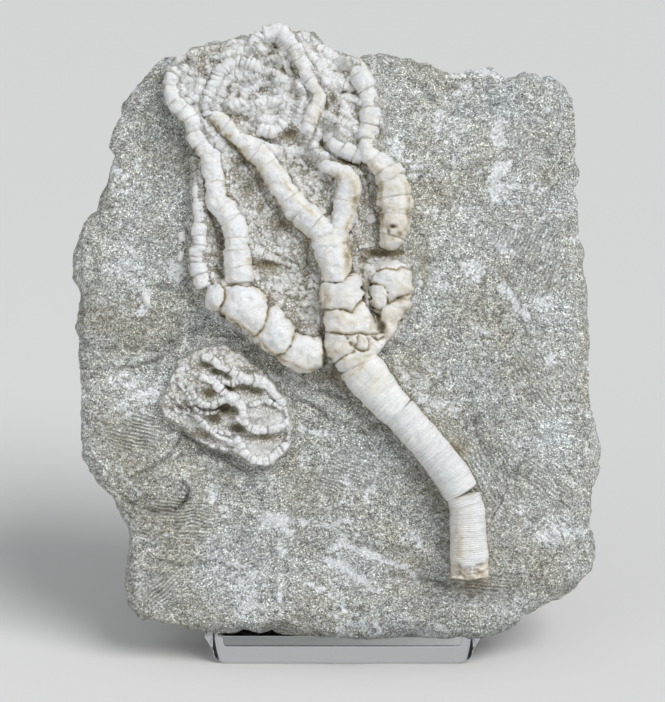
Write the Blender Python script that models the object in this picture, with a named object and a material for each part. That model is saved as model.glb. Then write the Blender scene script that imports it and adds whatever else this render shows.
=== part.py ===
"""Crinoid fossil on a stone slab that leans back on a clear acrylic stand.

Metres, +Z up. The origin is the middle of the stand's underside and the slab's carved face looks
towards -Y. Everything on the slab is modelled in the slab's own frame, where x runs right, y runs up
the slab and z stands out of its face, and an empty tilts that frame back.
"""
import math

import bmesh
import bpy
from mathutils import Matrix, Vector, noise

# ---------------------------------------------------------------- driving dimensions, metres
MM = 0.001
UNIT = 0.27 * MM            # one unit of the face layout, whose x runs right and y runs down
LAYOUT_MIDDLE_X = 343       # layout x over the middle of the stand
LAYOUT_FOOT_Y = 640         # layout y of the slab's lowest front edge

LEAN = math.radians(15)     # how far the slab leans back from upright
SLAB_THICKNESS = 24 * MM
SLAB_COLUMNS = 34           # face cells across
SLAB_ROWS = 40              # face cells up
SLAB_SWELL = 1.6 * MM       # how far the bare stone swells and dips
EDGE_DROP = 1.4 * MM        # how far the face falls off at its chipped rim
SIDE_RINGS = ((6 * MM, 1.5 * MM), (15 * MM, 0.4 * MM), (24 * MM, -2.2 * MM))   # depth, overhang

BED_GAP = 0.3 * MM          # gap between a fossil piece and the stone under it
END_GAP = 0.25 * MM         # half the gap between two fossil pieces in line
ARCH_SIDES = 6              # facets over a fossil piece's arch
WALL_SHARE = 0.30           # share of an arch's height that is upright wall

STAND_WIDTH = 75.6 * MM
STAND_DEPTH = 62 * MM
STAND_HEIGHT = 8 * MM
STAND_DRAFT = 2.4 * MM      # how much narrower each side is at the bottom
STAND_CORNER = 3.5 * MM
SLAB_OVERHANG = 3.5 * MM    # how far the slab's front edge stands in front of the base
FIN_THICKNESS = 4 * MM
FIN_SPACING = 34 * MM
FIN_HEIGHT = 62 * MM
FIN_TOP = 6 * MM
FIN_HEEL = 5 * MM

# ---------------------------------------------------------------- the slab's outline, layout units
# Four sides between the slab's corners; the left and right sides run upwards.
SLAB_LEFT = [
    (140, 614), (131, 600), (128, 586), (131, 549), (129, 528), (114, 496), (101, 484), (84, 456),
    (81, 439), (81, 391), (81, 328), (82, 300), (75, 278), (75, 254), (85, 225), (99, 212), (109, 183),
    (114, 154), (108, 147), (115, 122), (131, 94), (150, 71), (158, 62)]
SLAB_TOP = [
    (158, 62), (172, 56), (183, 57), (200, 48), (220, 43), (240, 38), (252, 41), (262, 33), (277, 29),
    (292, 36), (308, 31), (325, 44), (350, 55), (360, 60), (378, 55), (410, 59), (436, 69), (465, 73),
    (492, 70), (508, 79), (525, 77), (557, 86)]
SLAB_RIGHT = [
    (592, 571), (594, 545), (590, 515), (596, 473), (593, 430), (589, 380), (585, 330), (584, 280),
    (578, 245), (577, 202), (576, 168), (568, 132), (566, 103), (557, 86)]
SLAB_BOTTOM = [
    (140, 614), (162, 624), (204, 627), (228, 629), (244, 627), (258, 632), (271, 627), (300, 637),
    (341, 639), (405, 639), (469, 640), (483, 638), (501, 630), (515, 623), (536, 608), (568, 592),
    (584, 578), (592, 571)]

# ---------------------------------------------------------------- fossil pieces
# Each runs along (layout x, layout y, width mm, height mm); the ossicle length in mm follows.
STEM_LOWER = ([(463.5, 497, 8.3, 7.4), (466.5, 511, 8.6, 7.8), (467, 530, 8.9, 8.2), (468.5, 560, 9.6, 8.2),
               (469, 576, 9.7, 7.2)], 5.0)
STEM_MIDDLE = ([(399, 412, 8.4, 7.6), (410, 425, 8.4, 7.6), (422, 438, 8.6, 7.6), (436, 455, 8.8, 7.6),
                (449, 472, 8.9, 7.6), (459.5, 489, 8.7, 7.4)], 5.0)
STEM_UPPER = ([(360.5, 368, 12.2, 8.6), (368, 377, 11.4, 8.6), (378, 390, 10.2, 8.2), (390, 404, 9.0, 7.8),
               (397, 410, 8.6, 7.6)], 3.6)
CUP = ([(354.5, 357, 10.6, 8.8), (351, 343, 15.5, 9.8), (348, 325, 13.0, 10.2), (345, 308, 12.6, 9.6),
        (342, 292, 11.4, 9.4), (338, 281, 9.2, 8.8)], 5.2)
ARM_CENTRE = ([(337.5, 278, 8.4, 8.4), (335, 262, 8.2, 8.2), (331, 249, 7.6, 8.2), (329.5, 238, 8.8, 8.4)], 4.4)
ARM_CENTRE_LEFT = ([(320, 229, 6.6, 8.0), (310, 222, 6.6, 7.8), (295, 206, 6.0, 7.4), (283, 190, 5.7, 7.0),
                    (273, 172, 5.4, 6.6), (262, 158, 5.4, 6.4), (250, 148, 4.9, 6.0), (240, 140, 4.4, 5.8),
                    (228, 128, 3.9, 5.4), (217, 118, 3.4, 5.0)], 4.4)
ARM_CENTRE_CURL = ([(210, 112, 3.4, 5.0), (209, 103, 3.4, 5.0), (213, 92, 3.4, 5.0), (217, 82, 3.2, 5.0),
                    (221, 72, 3.0, 5.0), (228, 66, 2.9, 5.0), (238, 63, 2.9, 5.0), (248, 65, 2.8, 5.0),
                    (258, 68, 2.8, 5.0), (266, 66, 2.8, 4.8), (272, 63, 2.6, 4.6)], 2.4)
ARM_COIL_UPPER = ([(229, 110, 2.8, 4.6), (238, 104, 2.8, 4.6), (246, 97, 2.8, 4.8), (249, 90, 2.8, 4.8),
                   (255, 85, 2.8, 4.6), (263, 82, 2.6, 4.4), (270, 80, 2.4, 4.2)], 2.4)
ARM_COIL_LOWER = ([(297, 97, 2.8, 4.4), (292, 110, 3.0, 4.6), (288, 120, 3.0, 4.8), (282, 128, 3.1, 4.8),
                   (272, 133, 3.1, 4.8), (262, 131, 2.9, 4.6), (255, 128, 2.6, 4.2)], 2.4)
ARM_CROWN_LOOP = ([(266, 35, 3.2, 4.8), (277, 34, 3.5, 5.0), (287, 40, 3.7, 5.2), (295, 48, 3.7, 5.4),
                   (302, 60, 3.7, 5.6), (309.6, 73.6, 3.6, 5.6), (316, 86, 3.6, 5.6), (318.5, 97, 3.5, 5.6),
                   (315, 109, 3.5, 5.6), (312, 120, 3.5, 5.4), (308, 132, 3.4, 5.2), (304, 142, 3.0, 4.8)], 3.0)
ARM_LOOP_LEFT = ([(258, 38, 2.4, 4.2), (254, 46, 2.4, 4.4), (254, 55, 2.4, 4.2)], 1.8)
ARM_CENTRE_RIGHT = ([(340.5, 226, 5.0, 7.8), (344, 215, 5.3, 7.6), (347.5, 200, 5.4, 7.4), (349, 187, 5.3, 7.2),
                     (346, 177, 4.4, 6.8), (336, 171, 2.9, 6.0), (326, 165.5, 2.4, 5.2), (319, 160, 2.0, 4.6)],
                    4.6)
ARM_LEFT_BASE = ([(320, 353, 8.6, 7.4), (303, 353, 9.4, 7.8), (289, 346, 9.6, 8.2), (276, 335, 10.4, 8.6),
                  (262, 322, 10.6, 8.8), (248, 307.5, 11.2, 8.8), (233, 299, 9.8, 8.4), (221, 296, 8.0, 7.6),
                  (211, 295, 6.8, 6.8)], 6.0)
ARM_LEFT_MAIN = ([(241, 281, 7.6, 8.2), (240, 269, 7.4, 8.0), (238, 255, 6.6, 7.4), (237, 240, 6.5, 7.2),
                  (235, 225, 6.0, 7.0), (226, 212, 5.7, 6.8), (219, 203, 5.4, 6.6), (216, 192, 5.0, 6.4),
                  (215, 180, 4.6, 6.2), (213, 168, 4.3, 6.0), (211, 158, 4.1, 5.8)], 3.6)
ARM_LEFT_TIP = ([(207, 150, 4.0, 5.6), (199, 137, 4.0, 5.4), (194, 124, 4.0, 5.4), (187, 113, 4.0, 5.4),
                 (178, 103, 3.9, 5.2), (173, 92, 3.8, 5.2), (175, 80, 3.6, 5.0), (181, 70, 3.4, 4.8),
                 (188, 62, 3.0, 4.4)], 2.8)
ARM_LEFT_SIDE = ([(190, 102, 2.2, 4.6), (197, 94, 2.3, 4.6), (202, 85, 2.2, 4.6), (206, 77, 1.9, 4.2)], 1.8)
ARM_LEFT_OUTER = ([(204, 281, 3.6, 5.4), (199, 265, 3.6, 5.2), (200, 250, 3.4, 5.0), (202, 237, 3.2, 4.8),
                   (200, 222, 3.0, 4.6), (199, 208, 2.9, 4.4), (199, 195, 2.8, 4.2), (198, 180, 2.6, 4.0),
                   (198, 166, 2.4, 3.6)], 2.8)
ARM_RIGHT_BASE = ([(394, 323, 3.6, 6.2), (391.5, 312, 6.6, 7.4), (389, 298, 10.6, 7.8), (394, 282, 8.8, 7.8),
                   (394, 269, 9.4, 7.6), (393, 259.5, 9.0, 7.2)], 4.2)
ARM_RIGHT_OUTER = ([(353, 63, 4.4, 5.0), (359, 76, 4.8, 5.4), (366, 88, 4.9, 5.6), (371, 98, 4.9, 5.8),
                    (372, 110, 4.9, 5.8), (371, 122, 4.9, 6.0), (368, 135, 4.5, 6.0), (368, 146, 4.6, 6.2),
                    (372, 158, 5.2, 6.8), (383, 170, 6.6, 7.4), (391, 185, 7.2, 7.8), (394, 200, 7.2, 8.0),
                    (395, 215, 6.8, 7.8), (394, 230, 6.2, 7.4), (391, 241, 5.2, 6.8), (391, 248, 4.4, 6.0)],
                   4.4)
ARM_RIGHT_SIDE = ([(356, 155, 3.6, 5.0), (347, 151, 3.8, 5.0), (341, 147, 3.9, 5.0), (334, 139, 3.7, 4.8),
                   (327.5, 131, 3.2, 4.4)], 2.4)

CROWN_FLOOR = [(200, 60), (250, 72), (300, 90), (345, 75), (362, 120), (350, 175), (378, 215), (372, 262),
               (318, 320), (262, 272), (210, 150), (180, 90)]      # pebbly ground between the arms
FLOOR_LUMP = 1.8 * MM

# Broad forms of the bare stone: layout x, y, half-lengths along x and y, height mm.
STONE_FORMS = [
    (480, 592, 75, 14, -2.2),       # hollow under the stem's foot
    (165, 494, 34, 20, 2.2),        # oval boss
    (135, 150, 26, 60, -1.0),       # worn left shoulder
    (110, 372, 30, 26, 1.2),
    (150, 585, 40, 26, -1.0),
    (300, 585, 70, 30, 0.9),
    (520, 330, 40, 90, 0.8),
    (470, 110, 60, 40, -0.8)]

SMALL_CROWN = [
    (168, 381), (180, 362), (200, 350), (225, 350), (242, 356), (265, 376), (285, 398), (292, 424),
    (289, 445), (272, 463), (252, 465), (236, 452), (208, 446), (190, 432), (166, 414)]
SMALL_CROWN_HEIGHT = 5.6 * MM
SMALL_CROWN_RIDGE = 1.5 * MM
RIDGE_HALF_WIDTH = 1.5 * MM
SMALL_CROWN_RIDGES = [
    [(182, 366), (205, 356), (225, 366), (243, 375), (262, 381), (280, 396)],
    [(196, 380), (215, 381), (240, 380)],
    [(196, 403), (215, 403), (232, 398), (244, 413), (258, 429), (283, 427)],
    [(243, 455), (265, 463), (284, 449)],
    [(172, 385), (182, 402), (203, 418), (225, 440)]]

# colour, roughness
STONE = ((0.34, 0.345, 0.325, 1), 0.92)
CALCITE = ((0.72, 0.71, 0.67, 1), 0.62)
ACRYLIC = ((0.93, 0.96, 0.97, 1), 0.05)


# ---------------------------------------------------------------- small tools
def on_face(x, y):
    """A layout point as a point of the slab's frame."""
    return Vector(((x - LAYOUT_MIDDLE_X) * UNIT, (LAYOUT_FOOT_Y - y) * UNIT, 0))


def material(name, look, alpha=1.0):
    """A Principled material with one colour."""
    made = bpy.data.materials.new(name)
    made.use_nodes = True
    shader = made.node_tree.nodes["Principled BSDF"]
    shader.inputs["Base Color"].default_value = look[0]
    shader.inputs["Roughness"].default_value = look[1]
    shader.inputs["Metallic"].default_value = 0.0
    shader.inputs["Alpha"].default_value = alpha
    return made


def add_piece(name, shape, finish, parent=None):
    """A bmesh becomes a named object with its faces pointing out."""
    bmesh.ops.recalc_face_normals(shape, faces=shape.faces)
    mesh = bpy.data.meshes.new(name)
    shape.to_mesh(mesh)
    shape.free()
    mesh.materials.append(finish)
    piece = bpy.data.objects.new(name, mesh)
    bpy.context.scene.collection.objects.link(piece)
    piece.parent = parent
    return piece


def even_points(points, count):
    """count + 1 points evenly spaced along a polyline."""
    lengths = [0.0]
    for start, end in zip(points, points[1:]):
        lengths.append(lengths[-1] + (end - start).length)
    result = []
    for step in range(count + 1):
        along = lengths[-1] * step / count
        leg = next((i for i in range(1, len(lengths)) if lengths[i] >= along - 1e-12), len(lengths) - 1)
        share = (along - lengths[leg - 1]) / (lengths[leg] - lengths[leg - 1])
        result.append(points[leg - 1].lerp(points[leg], share))
    return result


def smooth_route(stations, steps=10):
    """Catmull-Rom samples of (place, width, height) through a piece's stations."""
    knots = [Vector((*on_face(x, y)[:2], width * MM, height * MM)) for x, y, width, height in stations]
    knots = [2 * knots[0] - knots[1]] + knots + [2 * knots[-1] - knots[-2]]
    samples = []
    for a, b, c, d in zip(knots, knots[1:], knots[2:], knots[3:]):
        for step in range(steps):
            t = step / steps
            samples.append(0.5 * (2 * b + (c - a) * t + (2 * a - 5 * b + 4 * c - d) * t * t
                                  + (3 * b - a - 3 * c + d) * t ** 3))
    samples.append(knots[-2])
    return samples


def distance_to_route(place, route):
    """Distance from a place on the face to the nearest edge of a smooth route."""
    return min(math.hypot(place.x - sample[0], place.y - sample[1]) - sample[2] / 2 for sample in route)


def inside(place, outline):
    """True where a place on the face lies inside a closed outline."""
    within = False
    for a, b in zip(outline, outline[1:] + outline[:1]):
        if (a.y > place.y) != (b.y > place.y):
            if place.x < a.x + (place.y - a.y) * (b.x - a.x) / (b.y - a.y):
                within = not within
    return within


def smooth_step(value, low, high):
    """0 below low, 1 above high, and a smooth ramp between."""
    t = min(max((value - low) / (high - low), 0.0), 1.0)
    return t * t * (3 - 2 * t)


def bump(place, middle, reach_x, reach_y):
    """A smooth hill of height 1 that fades out over its half-lengths."""
    return math.exp(-((place.x - middle.x) / reach_x) ** 2 - ((place.y - middle.y) / reach_y) ** 2)


# ---------------------------------------------------------------- fossil pieces
def arch_ring(sample, forward, swell):
    """The points of one flat-footed arch across a piece, from its right foot over to its left foot."""
    across = Vector((forward.y, -forward.x, 0)).normalized()
    middle = Vector((sample[0], sample[1], BED_GAP))
    half = sample[2] / 2 * swell
    height = sample[3] * swell
    points = [middle + across * half * 0.90]
    for k in range(ARCH_SIDES + 1):
        turn = math.pi * k / ARCH_SIDES
        rise = height * (WALL_SHARE + (1 - WALL_SHARE) * math.sin(turn))
        points.append(middle + across * half * math.cos(turn) + Vector((0, 0, rise)))
    points.append(middle - across * half * 0.90)
    return points


def fossil_piece(name, plan, finish, parent):
    """A plated arm or stem: arches along a route, waisted at each joint between its ossicles."""
    stations, ossicle = plan
    route = smooth_route(stations)
    flat = [Vector((*sample[:2], 0)) for sample in route]
    length = sum((b - a).length for a, b in zip(flat, flat[1:]))
    ossicles = max(2, round(length / (ossicle * MM)))
    shape = bmesh.new()
    ends = []
    previous = None
    rings = 2 * ossicles
    for index in range(rings + 1):
        along = END_GAP + (length - 2 * END_GAP) * index / rings
        sample, forward = sample_at(route, flat, along)
        waist = 0.93 if index % 2 == 0 else 1.03
        if index in (0, rings):
            waist = 0.96
        ring = [shape.verts.new(point) for point in arch_ring(sample, forward, waist)]
        if previous:
            for k in range(len(ring)):
                following = (k + 1) % len(ring)
                shape.faces.new((previous[k], previous[following], ring[following], ring[k]))
        previous = ring
        if index in (0, rings):
            ends.append(ring)
    for ring in ends:
        shape.faces.new(ring)
    return add_piece(name, shape, finish, parent)


def sample_at(route, flat, along):
    """The route's sample and its direction at a length along it."""
    travelled = 0.0
    for a, b, start, end in zip(route, route[1:], flat, flat[1:]):
        leg = (end - start).length
        if travelled + leg >= along:
            return a.lerp(b, (along - travelled) / leg), (end - start).normalized()
        travelled += leg
    return route[-1], (flat[-1] - flat[-2]).normalized()


def small_crown(finish, parent):
    """The second crown: a low mound on a flat foot, with its arms as fused ridges."""
    outline = [on_face(*point) for point in SMALL_CROWN]
    ridges = [[Vector((*sample[:2], 0)) for sample in smooth_route([(x, y, 0, 0) for x, y in ridge], 4)]
              for ridge in SMALL_CROWN_RIDGES]
    rim = even_points(outline + outline[:1], 36)[:-1]
    centre = sum(rim, Vector()) / len(rim)
    shape = bmesh.new()
    foot = [shape.verts.new(point + Vector((0, 0, BED_GAP))) for point in rim]
    shape.faces.new(foot)
    previous = foot
    for share in (0.995, 0.90, 0.76, 0.60, 0.44, 0.28, 0.13):
        ring = []
        for point in rim:
            place = centre.lerp(point, share)
            mound = SMALL_CROWN_HEIGHT * (0.38 + 0.62 * math.sqrt(max(0.0, 1 - share ** 4)))
            near = min((place - sample).length for ridge in ridges for sample in ridge)
            crest = SMALL_CROWN_RIDGE * (1 - 2 * smooth_step(near, 0, 2 * RIDGE_HALF_WIDTH))
            if share > 0.95:
                mound, crest = SMALL_CROWN_HEIGHT * 0.30, 0.0
            ring.append(shape.verts.new(place + Vector((0, 0, BED_GAP + mound + crest))))
        for k in range(len(ring)):
            following = (k + 1) % len(ring)
            shape.faces.new((previous[k], previous[following], ring[following], ring[k]))
        previous = ring
    shape.faces.new(previous)
    bmesh.ops.triangulate(shape, faces=[face for face in shape.faces if len(face.verts) > 4 and
                                        face.calc_center_median().z > BED_GAP])
    return add_piece("small_crown", shape, finish, parent)


# ---------------------------------------------------------------- the slab
def slab_heights(shape, routes, crown_outline):
    """Raises and lowers the face's inner vertices, and leaves a flat bed under every fossil."""
    cell = max(edge.calc_length() for edge in shape.edges)
    for vert in shape.verts:
        place = vert.co.copy()
        clear = min(distance_to_route(place, route) for route in routes)
        edge_gap = min((place - point).length for point in crown_outline)
        clear = min(clear, 0.0 if inside(place, crown_outline) else edge_gap)
        swell = noise.noise(place * 38) + 0.5 * noise.noise(place * 95 + Vector((7, 3, 1)))
        free = smooth_step(clear, cell, cell + 9 * MM)
        form = sum(height * MM * bump(place, on_face(x, y), reach_x * UNIT, reach_y * UNIT)
                   for x, y, reach_x, reach_y, height in STONE_FORMS)
        vert.co.z = (SLAB_SWELL * (swell - 0.25) + form) * free
        if vert.is_boundary:
            chip = 0.5 + 0.5 * noise.noise(place * 150)
            vert.co.z -= EDGE_DROP * chip * smooth_step(clear, cell, cell + 3 * MM)


def floor_lumps(shape, routes):
    """Cuts the bare cells between the arms finer and lifts their inner vertices into lumps."""
    floor = [on_face(*point) for point in CROWN_FLOOR]
    bare = []
    for face in shape.faces:
        corners = [vert.co for vert in face.verts] + [face.calc_center_median()]
        if all(inside(corner, floor) and min(distance_to_route(corner, route) for route in routes)
               > 0.4 * MM for corner in corners):
            bare.append(face)
    edges = list({edge for face in bare for edge in face.edges})
    cut = bmesh.ops.subdivide_edges(shape, edges=edges, cuts=2, use_grid_fill=True)
    fine = {item for item in cut["geom_inner"] if isinstance(item, bmesh.types.BMVert)}
    for vert in fine:
        clear = min(distance_to_route(vert.co, route) for route in routes)
        lump = 0.55 + 0.9 * noise.noise(vert.co * 420 + Vector((2, 5, 8)))
        vert.co.z = FLOOR_LUMP * max(0.0, lump) * smooth_step(clear, 1.6 * MM, 2.4 * MM)


def matrix_slab(finish, parent, routes):
    """The stone: a warped grid for the face, chipped rings for its sides and a flat back."""
    sides = [[on_face(*point) for point in side] for side in (SLAB_LEFT, SLAB_RIGHT, SLAB_BOTTOM, SLAB_TOP)]
    left, right = (even_points(side, SLAB_ROWS) for side in sides[:2])
    bottom, top = (even_points(side, SLAB_COLUMNS) for side in sides[2:])
    shape = bmesh.new()
    bmesh.ops.create_grid(shape, x_segments=SLAB_COLUMNS, y_segments=SLAB_ROWS, size=0.5)
    for vert in shape.verts:
        s, t = vert.co.x + 0.5, vert.co.y + 0.5
        i, j = round(s * SLAB_COLUMNS), round(t * SLAB_ROWS)
        corners = (bottom[0] * (1 - s) * (1 - t) + bottom[-1] * s * (1 - t)
                   + top[0] * (1 - s) * t + top[-1] * s * t)
        vert.co = left[j] * (1 - s) + right[j] * s + bottom[i] * (1 - t) + top[i] * t - corners
    crown_outline = even_points([on_face(*point) for point in SMALL_CROWN + SMALL_CROWN[:1]], 60)
    slab_heights(shape, routes, crown_outline)
    floor_lumps(shape, routes)
    slab_sides(shape)
    return add_piece("matrix_slab", shape, finish, parent)


def slab_sides(shape):
    """Draws the rim back in chipped rings and closes the flat back."""
    rim = [edge for edge in shape.edges if edge.is_boundary]
    centre = on_face(LAYOUT_MIDDLE_X, 340)
    reach = {}
    for vert in {vert for edge in rim for vert in edge.verts}:
        outward = Vector((0, 0, 0))
        for edge in vert.link_edges:
            if edge.is_boundary:
                run = edge.other_vert(vert).co - vert.co
                side = Vector((run.y, -run.x, 0)).normalized()
                outward += side if side.dot(vert.co - centre) > 0 else -side
        reach[vert] = (Vector((vert.co.x, vert.co.y, 0)), outward.normalized())
    for depth, overhang in SIDE_RINGS:
        grown = bmesh.ops.extrude_edge_only(shape, edges=rim)["geom"]
        rim = [item for item in grown if isinstance(item, bmesh.types.BMEdge)]
        new = [item for item in grown if isinstance(item, bmesh.types.BMVert)]
        moved = {}
        for vert in new:
            source = next(edge.other_vert(vert) for edge in vert.link_edges if edge.other_vert(vert) in reach)
            start, outward = reach[source]
            chip = noise.noise(start * 90 + Vector((0, 0, depth * 260))) * 1.6 * MM
            place = start + outward * (overhang + chip)
            resting = depth * math.tan(LEAN)
            if depth < SLAB_THICKNESS or place.y < resting:
                place.y = max(place.y, resting)
            place.z = -depth
            vert.co = place
            moved[vert] = (start, outward)
        reach = moved
    bmesh.ops.contextual_create(shape, geom=rim)


# ---------------------------------------------------------------- the stand
def stand_base(finish):
    """The base: its front outline, with drafted sides and round lower corners, drawn back."""
    half_top, half_low = STAND_WIDTH / 2, STAND_WIDTH / 2 - STAND_DRAFT
    corner = []
    for k in range(6):
        turn = math.radians(90 * k / 5)
        corner.append((half_low - STAND_CORNER * (1 - math.cos(turn)), STAND_CORNER * (1 - math.sin(turn))))
    right = [(half_top, STAND_HEIGHT)] + corner
    outline = right + [(-x, z) for x, z in reversed(right)]
    shape = bmesh.new()
    front = shape.faces.new([shape.verts.new((x, -STAND_DEPTH / 2, z)) for x, z in outline])
    grown = bmesh.ops.extrude_face_region(shape, geom=[front])["geom"]
    bmesh.ops.translate(shape, vec=(0, STAND_DEPTH, 0),
                        verts=[item for item in grown if isinstance(item, bmesh.types.BMVert)])
    return add_piece("stand_base", shape, finish)


def stand_fin(name, middle_x, finish, foot):
    """One fin: its front edge runs parallel to the slab's back, a gap behind it."""
    low = STAND_HEIGHT + BED_GAP
    high = low + FIN_HEIGHT
    back_plane = SLAB_THICKNESS + BED_GAP

    def behind(z):
        up = (z - foot.z + back_plane * math.sin(LEAN)) / math.cos(LEAN)
        return foot.y + up * math.sin(LEAN) + back_plane * math.cos(LEAN)

    heel = STAND_DEPTH / 2
    profile = [(behind(low), low), (heel, low), (heel, low + FIN_HEEL), (behind(high) + FIN_TOP, high - 1.5 * MM),
               (behind(high) + FIN_TOP - 1.5 * MM, high), (behind(high), high)]
    shape = bmesh.new()
    side = shape.faces.new([shape.verts.new((middle_x - FIN_THICKNESS / 2, y, z)) for y, z in profile])
    grown = bmesh.ops.extrude_face_region(shape, geom=[side])["geom"]
    bmesh.ops.translate(shape, vec=(FIN_THICKNESS, 0, 0),
                        verts=[item for item in grown if isinstance(item, bmesh.types.BMVert)])
    return add_piece(name, shape, finish)


def main():
    """Builds the fossil, its slab and its stand."""
    for old in list(bpy.data.objects):
        bpy.data.objects.remove(old, do_unlink=True)
    stone = material("stone", STONE)
    calcite = material("calcite", CALCITE)
    acrylic = material("acrylic", ACRYLIC, 0.35)

    foot = Vector((0, -STAND_DEPTH / 2 - SLAB_OVERHANG, STAND_HEIGHT + BED_GAP))
    slab_frame = bpy.data.objects.new("slab_frame", None)
    bpy.context.scene.collection.objects.link(slab_frame)
    slab_frame.location = foot
    slab_frame.rotation_euler = (math.pi / 2 - LEAN, 0, 0)

    fossils = {
        "stem_lower": STEM_LOWER, "stem_middle": STEM_MIDDLE, "stem_upper": STEM_UPPER, "cup": CUP,
        "arm_centre": ARM_CENTRE, "arm_centre_left": ARM_CENTRE_LEFT, "arm_centre_curl": ARM_CENTRE_CURL,
        "arm_coil_upper": ARM_COIL_UPPER, "arm_coil_lower": ARM_COIL_LOWER, "arm_crown_loop": ARM_CROWN_LOOP,
        "arm_loop_left": ARM_LOOP_LEFT, "arm_centre_right": ARM_CENTRE_RIGHT, "arm_left_base": ARM_LEFT_BASE,
        "arm_left_main": ARM_LEFT_MAIN, "arm_left_tip": ARM_LEFT_TIP, "arm_left_side": ARM_LEFT_SIDE,
        "arm_left_outer": ARM_LEFT_OUTER, "arm_right_base": ARM_RIGHT_BASE, "arm_right_outer": ARM_RIGHT_OUTER,
        "arm_right_side": ARM_RIGHT_SIDE}
    matrix_slab(stone, slab_frame, [smooth_route(stations, 4) for stations, _ in fossils.values()])
    for name, plan in fossils.items():
        fossil_piece(name, plan, calcite, slab_frame)
    small_crown(calcite, slab_frame)
    stand_base(acrylic)
    stand_fin("stand_fin_left", -FIN_SPACING / 2, acrylic, foot)
    stand_fin("stand_fin_right", FIN_SPACING / 2, acrylic, foot)
    bpy.context.view_layer.update()


main()
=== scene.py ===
"""Crinoid fossil on its stone slab and clear stand, dressed for the eye.

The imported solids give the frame. The stone, the fossil plates and the stand are modelled again here
with their fine surface, as an add-on with one operator for each group of pieces.
"""
import math

import bmesh
import bpy
import numpy as np
from bpy.props import FloatProperty, FloatVectorProperty, PointerProperty
from mathutils import Matrix, Vector


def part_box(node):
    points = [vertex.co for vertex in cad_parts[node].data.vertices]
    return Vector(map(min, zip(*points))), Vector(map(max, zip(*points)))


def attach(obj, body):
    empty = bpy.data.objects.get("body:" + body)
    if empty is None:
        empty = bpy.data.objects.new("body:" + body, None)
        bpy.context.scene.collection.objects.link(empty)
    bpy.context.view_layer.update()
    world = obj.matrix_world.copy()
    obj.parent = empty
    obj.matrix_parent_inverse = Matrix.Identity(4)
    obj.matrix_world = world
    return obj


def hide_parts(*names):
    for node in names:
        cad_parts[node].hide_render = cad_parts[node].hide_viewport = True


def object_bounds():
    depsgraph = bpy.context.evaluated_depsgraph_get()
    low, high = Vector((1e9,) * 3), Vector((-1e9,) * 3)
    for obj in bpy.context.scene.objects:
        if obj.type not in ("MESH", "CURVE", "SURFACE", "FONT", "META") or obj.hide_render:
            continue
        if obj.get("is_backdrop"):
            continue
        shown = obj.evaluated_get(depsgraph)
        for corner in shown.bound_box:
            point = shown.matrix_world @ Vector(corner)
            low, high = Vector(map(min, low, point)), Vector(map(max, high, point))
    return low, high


bl_info = {
    "name": "Crinoid fossil",
    "version": (1, 0, 0),
    "blender": (4, 5, 0),
    "location": "View3D > Sidebar > Fossil",
    "description": "A crinoid in high relief on its stone slab, with a clear stand",
    "category": "Object",
}

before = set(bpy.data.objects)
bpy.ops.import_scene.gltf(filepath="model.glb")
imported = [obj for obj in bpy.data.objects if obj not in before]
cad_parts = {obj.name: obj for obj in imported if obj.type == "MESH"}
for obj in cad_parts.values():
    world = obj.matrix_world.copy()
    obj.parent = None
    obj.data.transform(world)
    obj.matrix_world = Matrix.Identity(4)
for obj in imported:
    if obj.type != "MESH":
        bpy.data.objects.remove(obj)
CAD_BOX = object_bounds()
BASE_LOW, BASE_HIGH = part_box("stand_base")

# ---------------- the slab's own frame
# Face sizes are in millimetres: u runs right, v runs up the slab and w stands out of its face.
MM = 0.001
UNIT = 0.27  # mm to one unit of the face layout, whose x runs right and y runs down
LAYOUT_MIDDLE_X = 343
LAYOUT_FOOT_Y = 640
LEAN = math.radians(15)
THICKNESS = 24.0
BED_GAP = 0.3
SLAB_OVERHANG = 3.5
FOOT = Vector((0, BASE_LOW.y - SLAB_OVERHANG * MM, BASE_HIGH.z + BED_GAP * MM))
FACE = Matrix.Translation(FOOT) @ Matrix.Rotation(math.pi / 2 - LEAN, 4, "X") @ Matrix.Scale(MM, 4)

# ---------------- the slab, layout units
SLAB_LEFT = [
    (140, 614), (131.6, 601), (128, 586), (129.4, 567), (131, 549), (129.4, 528), (120.7, 510), (114, 496),
    (101, 484), (92.5, 471), (84, 456), (81, 439), (81, 408), (81.7, 391), (81, 365), (80.6, 328),
    (82.6, 313), (82, 300), (81, 292), (76, 281), (74.3, 266), (75.3, 254), (81, 237), (85, 225.5),
    (93.5, 218), (99, 212), (104, 197), (109, 183), (109, 174), (112.6, 162), (114.5, 154), (108, 147),
    (111.7, 132), (115.5, 122), (123, 107), (131, 94), (140.4, 83), (150, 70.5), (155, 64), (158, 62)]
SLAB_TOP = [
    (158, 62), (165, 56.5), (172, 56), (178, 57), (183, 57), (190, 52), (200, 48.5), (210, 46), (220, 43),
    (230, 40), (240, 38), (247, 41), (251, 41), (255, 37), (261, 33), (268, 31), (277, 29), (285, 31),
    (290, 34), (297, 34), (303, 31.5), (308, 31), (312, 32), (318, 37), (325, 44), (333, 49.5), (340, 51),
    (350, 55.5), (360, 60), (363, 58), (370, 55.5), (378, 55), (390, 56.5), (410, 59), (418, 63.5), (430, 64),
    (436, 69), (450, 72), (465, 73), (467, 69.5), (480, 69), (492, 70), (500, 74.5), (508, 80), (515, 79),
    (525, 76.5), (535, 79.5), (550, 80.5), (557, 86)]
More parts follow.
